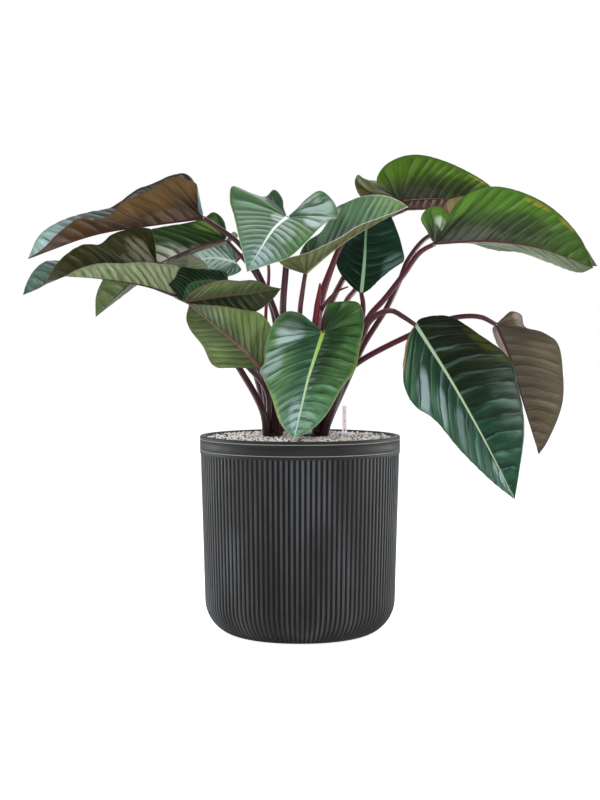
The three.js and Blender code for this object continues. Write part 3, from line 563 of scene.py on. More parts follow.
def gauge():
    """Three turned profiles: the tube, its collar and the float with the rod that it lifts."""
    tube = [(TUBE_BORE, TUBE_FOOT), (TUBE_RADIUS, TUBE_FOOT), (TUBE_RADIUS, TUBE_RING)]
    tube += [(TUBE_RADIUS - out, TUBE_TOP - down) for out, down in TUBE_ROUND] + [(AXIS, TUBE_TOP)]
    tube += [(AXIS, TUBE_TOP - TUBE_CAP), (TUBE_BORE, TUBE_TOP - TUBE_CAP), (TUBE_BORE, TUBE_FOOT)]
    collar = [(COLLAR_BORE, COLLAR_FOOT), (COLLAR_RADIUS, COLLAR_FOOT)]
    collar += [(COLLAR_RADIUS - out, COLLAR_FOOT + up) for out, up in COLLAR_RIM]
    collar += [(COLLAR_BORE + out, COLLAR_FOOT + up) for out, up in COLLAR_NECK]
    collar += [(COLLAR_BORE, COLLAR_FOOT)]
    body, top = TUBE_BORE - FLOAT_GAP, FLOAT_LEVEL + FLOAT_HEIGHT
    lifted = [(AXIS, FLOAT_LEVEL), (body, FLOAT_LEVEL), (body, top)]
    lifted += [(FLOAT_ROD, top + FLOAT_SHOULDER), (FLOAT_ROD, LOW_MARK), (AXIS, LOW_MARK)]
    red = plain_material("float_plastic", "a83224", "bf3c2c", 80, 0.4, 0.0001)
    for name, profile, material, slot in (
        ("gauge_tube", tube, tube_material(), "clear_plastic"),
        ("gauge_collar", collar, collar_material(), "clear_plastic"),
        ("gauge_float", lifted, red, "marker"),
    ):
        made = make_piece(name + "_piece", *turned(profile, GAUGE_SIDES, GAUGE_AT), {}, [material])
        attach(made, "root")
        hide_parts(name)


gauge()


# Shoots: two crowns in the gravel, from which the leaf stalks fan out. A stalk is firm and fleshy,
# dark maroon, grooved along its upper side, and sinks into its leaf at the junction.

MM = 0.001
CROWN_FOOT = 0.292
CROWN_TOP = 0.346
# The crown's outline in shares of its half width, and heights
CROWN_OUTLINE = (
    (0.01, CROWN_FOOT),
    (0.75, CROWN_FOOT),
    (1, CROWN_FOOT + 0.01),
    (1, GRAVEL_LEVEL - 0.002),
    (0.9, GRAVEL_LEVEL + 0.001),
    (0.62, CROWN_TOP - 0.004),
    (0.01, CROWN_TOP),
)
CROWN_SIDES = 48
STALK_SIDES = 20
# A stalk's lowest point, as a share of the crown's spread and up from its foot, how much it swells
# in the gravel, and how much thinner it is at the junction
STALK_ROOT = (0.8, 0.006)
STALK_SWELL = 1.15
STALK_END = 0.0006
RING_STEP = 0.007
RINGS_LEAST = 8
# The share of its radius to which a tube's end is drawn in
RING_CLOSED = 0.02
CURVE_STEPS = 60
GROOVE_DEPTH = 0.16
GROOVE_WIDTH = 0.42
STALK_OVAL = 0.05
# A stalk darkens towards the gravel between these heights
STALK_DARK = (0.40, 0.345)

# Each leaf's midrib from the junction to the tip, its margins right and left of the midrib, and its
# stalk from the gravel up. A place is in millimetres: across, the height and how far behind the
# planter's axis, then a stalk's half width. The arch of the side veins and their lead, which is how
# far up the midrib the lobe's fan of veins ends on the margin, are given for the right and for the
# left half. A skin has a colour for the margin, the midrib and the tip, of both halves or of each,
# and a midrib has those of the face and of the underside. patched explains the patches on a skin.
# On a skin, the pale bluish-white patches are painted reflections of the bright sky and lamps
USUAL = {"arch": (0.05, 0.05), "red": 0.1, "lead": (0.22, 0.22), "pleat": 1}
USUAL |= {"midrib": "8fa06a, 6d3033", "look": {}, "on_face": (), "on_under": ()}

RIGHT_LEAVES = {
    "front": USUAL | dict(
        rib="39 514 -15, 14 437 -75, 2 386 -115, -10 334 -155",
        right="15 536 -10, 0 547 -10, -25 549 -12, -49 524 -25, -60 483 -45, -61 462 -57, -69 449 -64, "
              "-63 438 -73, -49 405 -100, -32 357 -138",
        left="44 536 -5, 46 561 0, 70 567 0, 100 564 -5, 109 531 -20, 102 492 -45, 94 452 -70, "
             "71 420 -95, 43 372 -125, 14 345 -148",
        stalk="51 417 30 6, 58 485 28 5, 51 507 8 4.5",
        arch=(0.05, 0.08), lead=(0.3, 0.03), face="527448 2c5034 5c7c6a, 3e6030 1c381a 547c58",
        under="5b5040", midrib="a4c04a b9d2c8, 6d3033", edge="8a9a6c",
        look={"coat": 0.1, "rough": 0.36, "depth": 0.95},
        on_face=[("bccad0", -1.2, 1.7, 0.6, 0.34, 0.65), ("b4c4c8", 1.6, 2.4, 0.85, 0.26, 0.5),
                 ("a6bc50", 8.0, 4.0, 1.0, 0.14, 0.7), ("7f9e50", 4.0, 6.0, -1.0, 0.1, 0.5),
                 ("b4c6c8", 9.5, 2.5, 0.3, 0.4, 0.6), ("a9bcbc", 10.5, 2.0, -0.4, 0.4, 0.25),
                 ("0a2010", -2.6, 1.4, 0.5, 0.6, 0.8), ("0a2010", 0.9, 0.6, 0.5, 0.5, 0.7),
                 ("0c220c", 1.0, 2.0, -0.35, 0.3, 0.6), ("0a200e", -3.0, 1.5, -0.4, 0.5, 0.6),
                 ("0e2a12", 5.0, 3.0, -0.2, 0.25, 0.4)],
    ),
    "upper_front": USUAL | dict(
        rib="-22 709 -30, -44 690 -95, -68 654 -185, -90 617 -265",
        right="-30 720 -10, -30 740 10, -44 756 25, -59 744 15, -85 751 5, -113 762 0, -119 739 -40, "
              "-112 712 -90, -102 668 -180, -95 641 -230",
        left="-8 717 -5, 12 740 20, 34 754 30, 56 737 20, 64 710 -10, 51 705 -40, 33 691 -75, "
             "11 668 -120, -18 642 -170, -54 629 -225",
        stalk="-24 451 8 6.5, -29 551 12 6, -24 622 10 5.5, -20 680 -8 5",
        arch=(0.08, 0.08), pleat=0.4, face="345c28 32592c 40685a, 3a6420 2e5430 40685a", under="5d5a3c",
        # Its midrib's near-white at the junction is a painted highlight
        midrib="eef2e6 9ab892, 6d3033", edge="b9c8a0",
        look={"coat": 0.04, "rough": 0.42, "gloss": 0.22, "depth": 0.75, "crease_shade": 0.35},
        on_face=[("9cb4b8", 9.8, 3.6, -0.3, 0.8, 0.55), ("c4d4d8", -1.2, 1.2, -0.75, 0.35, 0.6),
                 ("bccccc", -2.9, 1.0, -0.6, 0.4, 0.55), ("143420", -3.9, 0.6, -0.5, 0.6, 0.8),
                 ("0e2a18", -3.3, 1.4, 0.6, 0.9, 0.95), ("d0dcd0", 0.6, 1.2, 0.1, 0.2, 0.6),
                 ("1c4424", 2.5, 1.2, -0.4, 0.4, 0.5), ("24502a", 5.0, 1.5, -0.8, 0.3, 0.5),
                 ("a8c4ac", 3.2, 2.2, -0.35, 0.35, 0.4)],
    ),
    "boat": USUAL | dict(
        rib="9 614 10, 53 651 -15, 95 680 -40, 183 727 -100",
        right="-6 619 -4, -24 625 -12, -37 637 -20, -15 642 -35, 14 650 -50, 43 663 -60, 71 677 -70, "
              "95 693 -80, 150 714 -100",
        left="-3 634 30, 10 666 50, 37 686 60, 61 725 60, 80 735 55, 103 744 40, 135 747 5, "
             "168 737 -70",
        stalk="-2 451 25 5, 0 551 22 4.5, 3 576 18 4.3",
        arch=(0, -0.05), red=0.35, pleat=0.6, face="38602f 22402a 3e6434, 40653c 24422c 567a3a",
        under="6c6f45 54552f 6c6f45, 54552f", midrib="c9d6b8, 8c9063", edge="c9c4b4",
        on_face=[("7f9c44", 9.0, 4.0, -0.9, 0.25, 0.45)],
    ),
    "upright": USUAL | dict(
        rib="104 580 30, 109 634 55, 112 685 90, 120 732 140",
        right="117 587 32, 141 610 40, 163 627 50, 176 636 60, 173 659 80, 164 688 105, 149 717 130",
        left="87 593 33, 68 615 45, 61 634 60, 63 658 80, 76 691 105, 97 722 130",
        stalk="68 434 15 6, 102 519 20 5, 107 561 25 4.3",
        arch=(-0.03, 0.05), red=0.6, pleat=0.5, face="1c3826 142a1a 203c2e, 142a1e 0a1e12 18302a",
        under="5a4a38", midrib="8fb58c 6f9a70, 6d3033", edge="3d5a44",
        look={"coat": 0.03, "rough": 0.45, "gloss": 0.18, "sheen": 0.04, "crease_shade": 0.35,
              "stripe": 0.1, "depth": 0.5},
        on_face=[("6f8c88", 2.2, 2.0, 0.75, 0.3, 0.5)],
    ),
    "top_right": USUAL | dict(
        rib="169 737 50, 230 740 110, 291 737 170, 352 725 230",
        right="142 756 45, 130 769 45, 140 793 55, 167 810 75, 196 815 95, 233 808 130, 279 789 170, "
              "323 761 210",
        left="134 740 80, 106 741 108, 96 756 120, 93 771 125, 98 781 128, 106 775 133, 144 769 150, "
             "203 769 180, 262 762 210, 313 745 230",
        stalk="24 451 25 9, 31 553 30 8, 53 624 35 5.5, 73 668 40 4.5, 119 713 45 4",
        arch=(0.05, 0), red=0.5, lead=(0.32, 0.3), face="26280e, 4e4a26",
        # Its underside's yellow-green towards the margin is partly painted light shining through the
        # blade
        under="46641a 343428 3e561a, 5a5030", midrib="8fa06a, 4d2028", edge="2f3a1c",
        look={"coat": 0.0, "gloss": 0.08, "rough": 0.55, "sheen": 0.05},
        on_face=[("5a9a30", -2.0, 1.0, -1.0, 0.15, 0.9)],
        on_under=[("b09a2c", 6.5, 2.0, 0.94, 0.05, 0.6), ("78a040", -2.2, 0.8, -0.9, 0.3, 0.7),
                  ("1a200e", 5.0, 4.0, 0.5, 0.35, 0.65), ("5c5c50", 2.0, 3.0, 0.2, 0.2, 0.3)],
    ),
    "under_top_right": USUAL | dict(
        rib="178 722 190, 237 723 240, 296 717 280, 349 698 315",
        right="168 730 185, 174 756 190, 220 781 230, 279 776 270, 325 742 300",
        left="169 725 220, 195 737 260, 246 739 300, 305 727 320",
        stalk="31 451 35 7, 42 536 50 5.5, 74 607 80 5, 119 680 140 4.5, 154 712 180 4",
        arch=(0.05, 0), red=0.5, face="3b5a38", under="7a5854 6c4c48 7a5854", midrib="8fa06a, 4d2028",
        edge="5a3038",
    ),
    "right": USUAL | dict(
        rib="229 665 20, 317 669 -20, 407 657 -55, 497 624 -85",
        right="215 688 15, 205 708 5, 220 727 -5, 239 726 -5, 253 713 -3, 264 731 -7, 281 747 -10, "
              "320 761 -20, 369 754 -40, 427 725 -60, 476 673 -80",
        left="220 678 45, 246 688 80, 305 675 85, 373 654 50, 427 631 10, 475 616 -50",
        stalk="77 451 5 6, 117 541 8 5.2, 143 571 10 5, 175 612 13 4.7, 204 651 17 4.5",
        arch=(0.06, 0.05), red=0.3, lead=(0.32, 0.3), face="3b6a3c",
        # Its underside's yellow-green towards the margin is partly painted light shining through the
        # blade
        under="446a1a 2c3022 36501a, 8c967e 767f62 6c7658", midrib="8fa06a, 54242e", edge="3c3a1c",
        on_under=[("b0902a", 4.5, 1.6, 0.93, 0.05, 0.5), ("b0902a", 7.5, 1.2, 0.95, 0.05, 0.5),
                  ("1e2a0e", 5.0, 3.5, 0.5, 0.3, 0.7), ("6c6c5c", 2.2, 2.5, 0.15, 0.2, 0.3),
                  ("dce8d4", -2.2, 0.7, 0.6, 0.2, 0.55), ("5a8a24", -1.0, 1.2, 0.8, 0.4, 0.5)],
    ),
    "behind_right": USUAL | dict(
        rib="263 678 140, 339 678 135, 424 661 120, 504 627 95",
        right="249 695 135, 242 718 130, 249 737 125, 264 743 125, 305 747 120, 364 739 112, "
              "424 712 105, 475 669 95",
        left="264 673 170, 288 669 200, 312 659 210, 336 653 200, 365 651 180, 416 642 150, "
             "467 627 115",
        stalk="82 437 40 5.5, 108 493 50 5, 147 556 60 4.7, 169 602 70 4.5, 183 637 80 4.2, "
              "220 678 112 4",
        arch=(0.05, 0), red=0.3, face="3b5a38", under="8a7650 7a6a48 6a6a48, 5d6a52",
        midrib="8fa06a, 54242e", edge="5a4a38",
    ),
    "hanging": USUAL | dict(
        rib="196 527 -60, 255 434 -90, 307 343 -105, 366 230 -100",
        right="184 508 -75, 178 483 -90, 175 442 -115, 180 415 -130, 196 389 -140, 228 367 -145, "
              "273 314 -145, 328 260 -125",
        left="202 536 -60, 221 542 -55, 255 541 -55, 306 510 -60, 355 471 -65, 371 423 -70, "
             "382 354 -85, 373 273 -97",
        stalk="77 442 5 6, 108 512 -10 5, 117 531 -20 4.8, 136 547 -32 4.6, 156 551 -43 4.5, "
              "175 541 -52 4.2",
        arch=(-0.05, 0.08), red=0.2, lead=(0.32, 0.12),
        face="305038 163220 284e40, 181f0e 121c0a 1e4430", under="a8824c 8a6a44 5a4a38, 5a4a38",
        midrib="9cae90 b4c096, 6d3033", edge="4d6a48",
        look={"coat": 0.1, "rough": 0.36, "gloss": 0.22, "sheen": 0.2},
        on_face=[("b4c6ca", 1.4, 0.7, 0.75, 0.4, 0.5), ("b4c6ca", 3.2, 0.7, 0.7, 0.4, 0.4),
                 ("a0b4b4", 5.5, 0.9, 0.6, 0.4, 0.3), ("a8bcc0", 10.5, 1.6, 0.3, 0.4, 0.6),
                 ("0a1006", -1.5, 5.0, -0.6, 0.8, 0.6), ("6c8474", 6.0, 3.5, -0.75, 0.3, 0.12),
                 ("5a5c20", 2.2, 2.0, -0.9, 0.2, 0.35), ("b08c54", -2.4, 1.4, 1.15, 1.15, 0.95)],
    ),
    "far_right": USUAL | dict(
        rib="333 528 60, 357 471 75, 381 391 85, 407 307 80",
        right="345 539 60, 358 550 55, 375 545 52, 382 524 55, 413 514 60, 437 497 65, 447 447 72, "
              "446 392 76, 421 328 82",
        left="327 520 82, 333 499 108, 360 447 138, 384 391 140, 400 340 110",
        stalk="68 434 15 6, 95 461 20 5.2, 182 508 35 5, 258 539 48 4.6, 306 541 55 4.4",
        arch=(0.05, 0), red=0.25, face="55704f", under="5e5240 51463a 5e5240, a08a82",
        midrib="8fa06a, 44242a", edge="3a3024",
        on_under=[("2e261e", 0.0, 1.8, 0.5, 0.6, 0.5), ("b8a49c", -2.4, 1.0, 0.9, 0.3, 0.6)],
    ),
    "back": USUAL | dict(
        rib="115 624 140, 122 646 220, 127 663 300, 132 675 380",
        right="132 627 130, 156 641 170, 168 663 230, 159 688 290, 149 700 340",
        left="102 631 130, 78 646 170, 70 666 230, 76 691 290, 102 702 345",
        stalk="54 468 60 5.5, 78 566 95 4.8, 93 586 110 4.6, 109 612 130 4",
        arch=(0, 0), red=0.8, face="2a4a34", under="5a5038", edge="5a5a3a",
    ),
}

LEFT_LEAVES = {
    "top_left": USUAL | dict(
        rib="-163 708 30, -258 695 10, -346 680 -25, -461 639 -70",
        right="-169 725 45, -178 749 58, -181 772 66, -196 783 70, -220 779 72, -249 766 70, "
              "-276 756 66, -305 735 60, -322 725 52, -361 717 25, -405 703 0, -441 679 -35",
        left="-171 720 22, -174 749 10, -176 766 5, -196 774 0, -210 778 -5, -232 769 -15, "
             "-252 756 -30, -301 734 -55, -325 711 -75, -347 705 -85, -371 708 -85, -405 686 -85, "
             "-438 654 -80",
        stalk="-34 434 32 5.5, -36 527 42 5, -64 600 50 4.7, -102 663 42 4.5",
        # Its face's blue-grey tip and left half are partly a painted reflection of the bright sky
        arch=(0.05, 0.03), face="20201a 1c1c16 8aa49e, 6a8a80 5c7a70 7d9a94",
        under="6a4c20 42261a 4a3018, 5e441e 3a2216 4a3018", midrib="8fa06a, 401a22", edge="5a2c30",
        look={"coat": 0.1, "rough": 0.42, "gloss": 0.3},
        on_under=[("86705f", 2.0, 2.0, -0.2, 0.25, 0.35), ("22160e", 0.0, 0.8, -0.5, 0.6, 0.5)],
    ),
    "left_tip": USUAL | dict(
        rib="-243 632 100, -319 627 60, -397 610 15, -470 578 -20",
        right="-251 663 130, -302 671 110, -353 654 80, -404 637 50, -433 634 25, -453 617 5, "
              "-465 595 -10",
        left="-244 646 95, -247 671 85, -253 689 75, -285 690 60, -319 680 40, -339 664 25, "
             "-368 663 10, -397 646 -5, -416 626 -12, -435 595 -18",
        stalk="-65 434 45 5, -102 527 100 4.5, -161 587 122 4, -204 617 115 4",
        face="50665c", under="30300a 1b1c0b 30300a, 32320c 20220c 32320c", midrib="8fa06a, 5a3a30",
        edge="6a5030",
        look={"coat": 0.2, "rough": 0.36},
        on_under=[("b4ae90", 0.3, 1.5, -0.35, 0.5, 0.55), ("a8a484", 2.0, 1.0, -0.2, 0.3, 0.35)],
    ),
    "left_flat": USUAL | dict(
        rib="-211 576 80, -258 592 30, -336 605 -45, -399 610 -110",
        right="-217 587 110, -255 607 100, -305 619 45, -356 615 -40",
        left="-202 590 82, -199 602 78, -207 627 65, -232 631 45, -268 634 10, -302 632 -20, "
             "-336 632 -55, -365 626 -85, -383 619 -100",
        stalk="-56 413 20 5, -95 464 45 5, -161 549 60 4.5",
        arch=(0, 0.05), face="6f8062", under="808a64 757f5c 757f5c, 8e9872 808a64 808a64",
        midrib="8fa06a, 5a3a30", edge="6a4034",
        look={"coat": 0.05, "rough": 0.5, "depth": 0.8},
    ),
    "left_back": USUAL | dict(
        rib="-125 671 90, -192 652 125, -272 610 165, -347 541 190",
        right="-112 685 105, -105 678 115, -122 666 130, -156 657 150, -204 639 170, -255 610 190, "
              "-309 570 200",
        left="-125 683 85, -129 703 80, -146 718 85, -163 708 92, -191 700 105, -234 693 130, "
             "-259 686 145, -305 646 170, -334 605 183, -346 576 190",
        stalk="-44 434 40 5, -44 539 75 4.5, -75 612 95 4",
        arch=(0, 0.05), red=0.15, face="28481f", under="747858 5c6048 6a7054, 24440e 1a2e0a 56643e",
        midrib="8fa06a, 5a3038", edge="4a5a28",
        on_under=[("b2b4a0", 5.2, 1.8, -0.3, 0.5, 0.75), ("c8c8bc", 4.0, 2.5, 0.4, 0.6, 0.5),
                  ("86a848", -1.4, 1.4, -0.6, 0.5, 0.6)],
    ),
    "left_inner": USUAL | dict(
        rib="-109 634 240, -144 641 265, -187 632 295, -255 607 330",
        right="-103 648 245, -115 663 255, -144 668 275, -180 666 295, -220 642 325",
        left="-100 620 230, -119 610 230, -161 612 255, -212 602 295",
        stalk="-58 434 60 4, -58 544 110 3, -54 631 170 3, -73 668 220 3",
        arch=(0, 0.05), red=0.9, face="3c5c4a", under="4a6a58", midrib="b9ccb4, 5a3038", edge="a9bca0",
        look={"coat": 0.15},
        on_face=[("d5e4dc", 3.0, 4.0, 0.0, 1.2, 0.4)],
    ),
    "left_fold": USUAL | dict(
        rib="-182 587 250, -185 612 210, -187 632 160, -188 648 110",
        right="-197 590 240, -214 607 210, -227 620 170, -217 634 140, -202 642 120",
        left="-166 592 230, -156 619 190, -163 634 150, -176 642 125",
        stalk="-85 468 100 5, -144 553 190 4.5",
        arch=(0.1, 0.1), face="4c5834, 66704a", under="4c5834, 66704a", midrib="a9a982, 7a6a50",
        edge="6a4038",
    ),
    "low_tip": USUAL | dict(
        rib="-192 568 -30, -139 575 -15, -85 581 0, -32 589 8",
        right="-190 576 -35, -168 592 -32, -129 603 -20, -102 602 -8, -78 603 0, -51 593 6",
        left="-183 559 -22, -161 546 -8, -119 539 2, -76 549 6, -46 571 8",
        stalk="-63 379 5 6, -109 463 25 5.5, -161 539 10 5, -187 565 -12 4.5",
        face="4f5a3c, 2a301c", under="667048 444e2c 3c4426, 2a3214 1a220e 2a3018",
        midrib="8fa06a, 5a4a38", edge="8a5a50",
        on_under=[("8a8f70", 1.0, 1.5, 0.4, 0.4, 0.35)],
    ),
    "low_front": USUAL | dict(
        rib="-65 452 5, -104 492 -50, -143 524 -110, -188 562 -180",
        right="-78 463 5, -91 469 0, -111 464 -5, -134 454 -15, -148 459 -25, -165 491 -70, "
              "-187 520 -125, -193 539 -155",
        left="-53 464 6, -43 484 3, -44 510 -3, -54 533 -12, -68 547 -22, -95 553 -45, -129 559 -90, "
             "-158 561 -135",
        stalk="-26 400 10 5, -41 437 14 4.5",
        red=0.3, pleat=0.6, face="54683a", under="667848 505e3a 3e4c28, 6a7c44 505e3a 3e4c28",
        midrib="b9c0a0, 8a5550", edge="7a4a48",
    ),
    "low_dark": USUAL | dict(
        rib="-122 598 60, -156 602 45, -187 595 25, -200 568 0",
        right="-125 615 75, -141 620 80, -178 622 75, -202 624 55, -212 607 30, -224 592 15, "
              "-221 575 5",
        left="-129 583 45, -156 573 30, -180 568 10",
        stalk="-65 451 70 5, -82 536 110 4.5, -102 583 95 4",
        arch=(0.1, 0.1), face="0f260a, 2a4a30", under="0f260a, 36684c", midrib="3a5a34, 3a3020",
        edge="3a4a2c",
        look={"coat": 0.08, "rough": 0.5, "gloss": 0.25},
    ),
}

# The red sheath and the brown bract on the right crown: places with half widths, and the redness
SHEATHS = (
    ("24 500 22 7, 30 560 26 6, 34 598 26 1.5", 1.0),
    ("34 545 36 3, 45 566 14 3, 63 584 8 2.2, 82 592 4 1.2", 0.3),
)


def numbers(text):
    """The numbers of a text, with a row for each part between its commas."""
    return np.array([row.split() for row in text.split(",")], float)


def placed(text):
    """Places seen from the front, carried to the point on their line of sight: across and the
    height above the eye grow as the distance does."""
    across, height, back = numbers(text)[:, :3].T * MM
    reach = 1 + back / EYE_DISTANCE
    return np.stack([across * reach, back, EYE_HEIGHT + (height - EYE_HEIGHT) * reach], -1)


def steps_of(points):
    """The distance from each point to the next."""
    return np.linalg.norm(np.diff(points, axis=0), axis=1)


def curve_through(points, samples):
    """The centripetal Catmull-Rom curve through the points at even steps along its length, and
    for each step its place in the list, counted from 0."""
    ends = np.vstack([2 * points[0] - points[1], points, 2 * points[-1] - points[-2]])
    knots = np.sqrt(steps_of(ends))[:, None]
    before, start, end, after = ends[:-3], ends[1:-2], ends[2:-1], ends[3:]
    first, span, last = knots[:-2], knots[1:-1], knots[2:]
    leave = (start - before) / first - (end - before) / (first + span) + (end - start) / span
    arrive = (end - start) / span - (after - start) / (span + last) + (after - end) / last
    leave, arrive = leave * span, arrive * span
    t = np.linspace(0, 1, CURVE_STEPS, endpoint=False)[:, None, None]
    rise = 3 * (end - start) - 2 * leave - arrive
    fine = start + leave * t + rise * t ** 2 + (2 * (start - end) + leave + arrive) * t ** 3
    fine = np.vstack([fine.transpose(1, 0, 2).reshape(-1, 3), points[-1:]])
    order = np.append((np.arange(len(start))[:, None] + t[:, 0, 0]).ravel(), len(start))
    run = np.append(0, np.cumsum(steps_of(fine)))
    even = np.linspace(0, run[-1], samples)
    path = np.stack([np.interp(even, run, fine[:, axis]) for axis in range(3)], -1)
    return path, np.interp(even, run, order)


def tube(points, radii, section=np.ones_like):
    """A section carried along the curve through the points, and how far along it and around it
    each point lies. Its frame is the curve's direction and the axis in which the points spread
    least, and both ends close to a point."""
    path, order = curve_through(points, max(RINGS_LEAST, int(steps_of(points).sum() / RING_STEP)))
    radius = np.interp(order, np.arange(len(radii)), radii)
    ahead = np.gradient(path, axis=0)
    ahead /= np.linalg.norm(ahead, axis=1)[:, None]
    least = np.linalg.svd(points - points.mean(0))[2][-1]
    side = least - (ahead @ least)[:, None] * ahead
    side /= np.linalg.norm(side, axis=1)[:, None]
    up = np.cross(ahead, side)
    turn = np.linspace(0, 2 * np.pi, STALK_SIDES, endpoint=False)
    spoke = np.cos(turn)[:, None] * up[:, None] + np.sin(turn)[:, None] * side[:, None]
    path = path[:, None]
    rings = path + spoke * (radius[:, None] * section(turn))[..., None]
    foot, head = path[:1], path[-1:]
    closed = [foot + RING_CLOSED * (rings[:1] - foot), rings, head + RING_CLOSED * (rings[-1:] - head)]
    rings = np.concatenate(closed)
    values = {
        "along": np.repeat(np.linspace(0, 1, len(rings)), STALK_SIDES),
        "around": np.tile(turn / (2 * np.pi), len(rings)),
    }
    return rings.reshape(-1, 3), grid_faces(len(rings), STALK_SIDES), values


def grooved(turn):
    """A slightly oval circle with a shallow groove along its upper side."""
    away = np.minimum(turn, 2 * np.pi - turn)
    return 1 - GROOVE_DEPTH * np.exp(-((away / GROOVE_WIDTH) ** 2)) + STALK_OVAL * np.cos(2 * away)


def vector(x, y, z=0.0):
    """A vector from its values along the three axes."""
    return Value(add_node(tree_of(x, y, z), "ShaderNodeCombineXYZ", {"X": x, "Y": y, "Z": z}))


def stalk_material():
    """Maroon skin with fine streaks along it, redder where the red value is high, darker towards
    the gravel, with a gloss."""
    material, tree, shader = new_material("stalk_skin")
    red = read(tree, "red")
    lane = vector(read(tree, "around") * 14.0, read(tree, "along") * 3.0, red * 31.0)
    streak = noise(lane, 2.2, 3)
    dark = blend(streak, paint("170a0a"), paint("45222a"))
    bright = blend(streak, paint("4a1019"), paint("882d3a"))
    share = reckon("ADD", red, ramp(streak, 0.5, 0.8) * 0.25, clamp=True)
    base = ramp(component(object_place(tree), "Z"), *STALK_DARK)
    colour = blend(base * 0.75, blend(share, dark, bright), paint("1a0c0b"))
    feed(shader, Base_Color=colour, Roughness=0.38, Normal=bump(streak, 0.35, 0.0008))
    feed(shader, Coat_Weight=0.25, Coat_Roughness=0.3)
    return material


def stalk_path(leaf, crown):
    """A stalk's points and radii, from inside the crown up to the junction with its blade."""
    upper = placed(leaf["stalk"])
    lean = upper[0, :2] - crown["at"]
    lean /= np.linalg.norm(lean)
    inward, deep = STALK_ROOT
    low = np.append(crown["at"] + lean * crown["spread"] * inward, CROWN_FOOT + deep)
    ground = np.append(crown["at"] + lean * crown["spread"], GRAVEL_LEVEL)
    widths = numbers(leaf["stalk"])[:, 3] * MM
    radii = np.hstack([widths[0], widths[0] * STALK_SWELL, widths, widths[-1] - STALK_END])
    return np.vstack([low, ground, upper, placed(leaf["rib"])[:1]]), radii


def shoot(side, leaves, sheaths, skin):
    """The crown's stump, turned and squashed to its oval, with every stalk and sheath."""
    crown = CROWNS[side]
    stump, faces = turned(CROWN_OUTLINE, CROWN_SIDES)
    stump = stump * [*crown["half"], 1] + [*crown["at"], 0]
    parts = [(stump, faces, {"along": 0, "around": 0, "red": 0})]
    tubes = [(*stalk_path(leaf, crown), grooved, leaf["red"]) for leaf in leaves.values()]
    tubes += [(placed(places), numbers(places)[:, 3] * MM, np.ones_like, red) for places, red in sheaths]
    for path, radii, section, red in tubes:
        points, faces, values = tube(path, radii, section)
        parts.append((points, faces, values | {"red": red}))
    made = make_piece(f"shoot_{side}_stalks", *merged(parts), [skin])
    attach(made, "root")
    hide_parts(f"shoot_{side}")


stalk_skin = stalk_material()
shoot("right", RIGHT_LEAVES, SHEATHS, stalk_skin)
shoot("left", LEFT_LEAVES, (), stalk_skin)


# Leaf blades: each a single leathery sheet, pleated between the side veins that sweep from its
# midrib to its margin, lobed round the stalk. The midrib stands proud underneath.

CURVE_SAMPLES = 600
# A side vein's bow towards the tip, in its length, and how soon it sets in up the midrib
VEIN_SWEEP = 0.12
SWEEP_EASE = 9
VEINS = 12
BODY_COLUMNS = 104
# The lobe's fan of veins starts on a ring round the junction. The notch takes a share of its turn,
# and the notch's edge goes over into arcs within FAN_TURN, in radians.
HUB = 0.0022
NOTCH_TURN = 0.12
FAN_TURN = 0.5
FAN_TURNS_MOST = 4
FAN_VEINS = 4
FAN_COLUMNS = 34
# The midrib's sizes at the junction and at the tip, its strips in its half width, and the part of a
# vein's length that it takes at most
RIB_HALF = (0.0042, 0.0006)
RIB_DEPTH = (0.0026, 0.0004)
RIB_CREST = 0.0006
RIB_STRIPS = (0, 0.4, 0.75, 1.0, 1.3)
RIB_PART = 3
RIB_EASE = 1.05
RIB_REACH = 0.02
STRIPS = 24
STRIP_EASE = 0.9
# The pleats' height, and how it sets in and dies away from the midrib to the margin
PLEAT = 0.0036
PLEAT_WIDTH = 0.7
PLEAT_START = 4
PLEAT_FADE = 0.75
PLEAT_REACH = 0.06
HALF_THICK = 0.0004
JOIN_WITHIN = 5e-6


def share_at(rising, value):
    """The share of the way along a rising list at which it reaches each value."""
    steps = np.linspace(0, 1, len(rising))
    keep = np.append(True, np.diff(rising) > 1e-12)
    return np.interp(value, rising[keep], steps[keep])


def along(points, share):
    """The points at these shares of the way along evenly spaced points."""
    place = np.clip(share, 0, 1) * (len(points) - 1)
    return np.stack([np.interp(place, np.arange(len(points)), points[:, k]) for k in range(3)], -1)


def unit(vectors):
    """Vectors brought to length 1."""
    return vectors / np.maximum(np.linalg.norm(vectors, axis=-1, keepdims=True), 1e-12)


def fade(ends, share):
    """The value between two ends at this share of the way."""
    return ends[0] + (ends[1] - ends[0]) * share


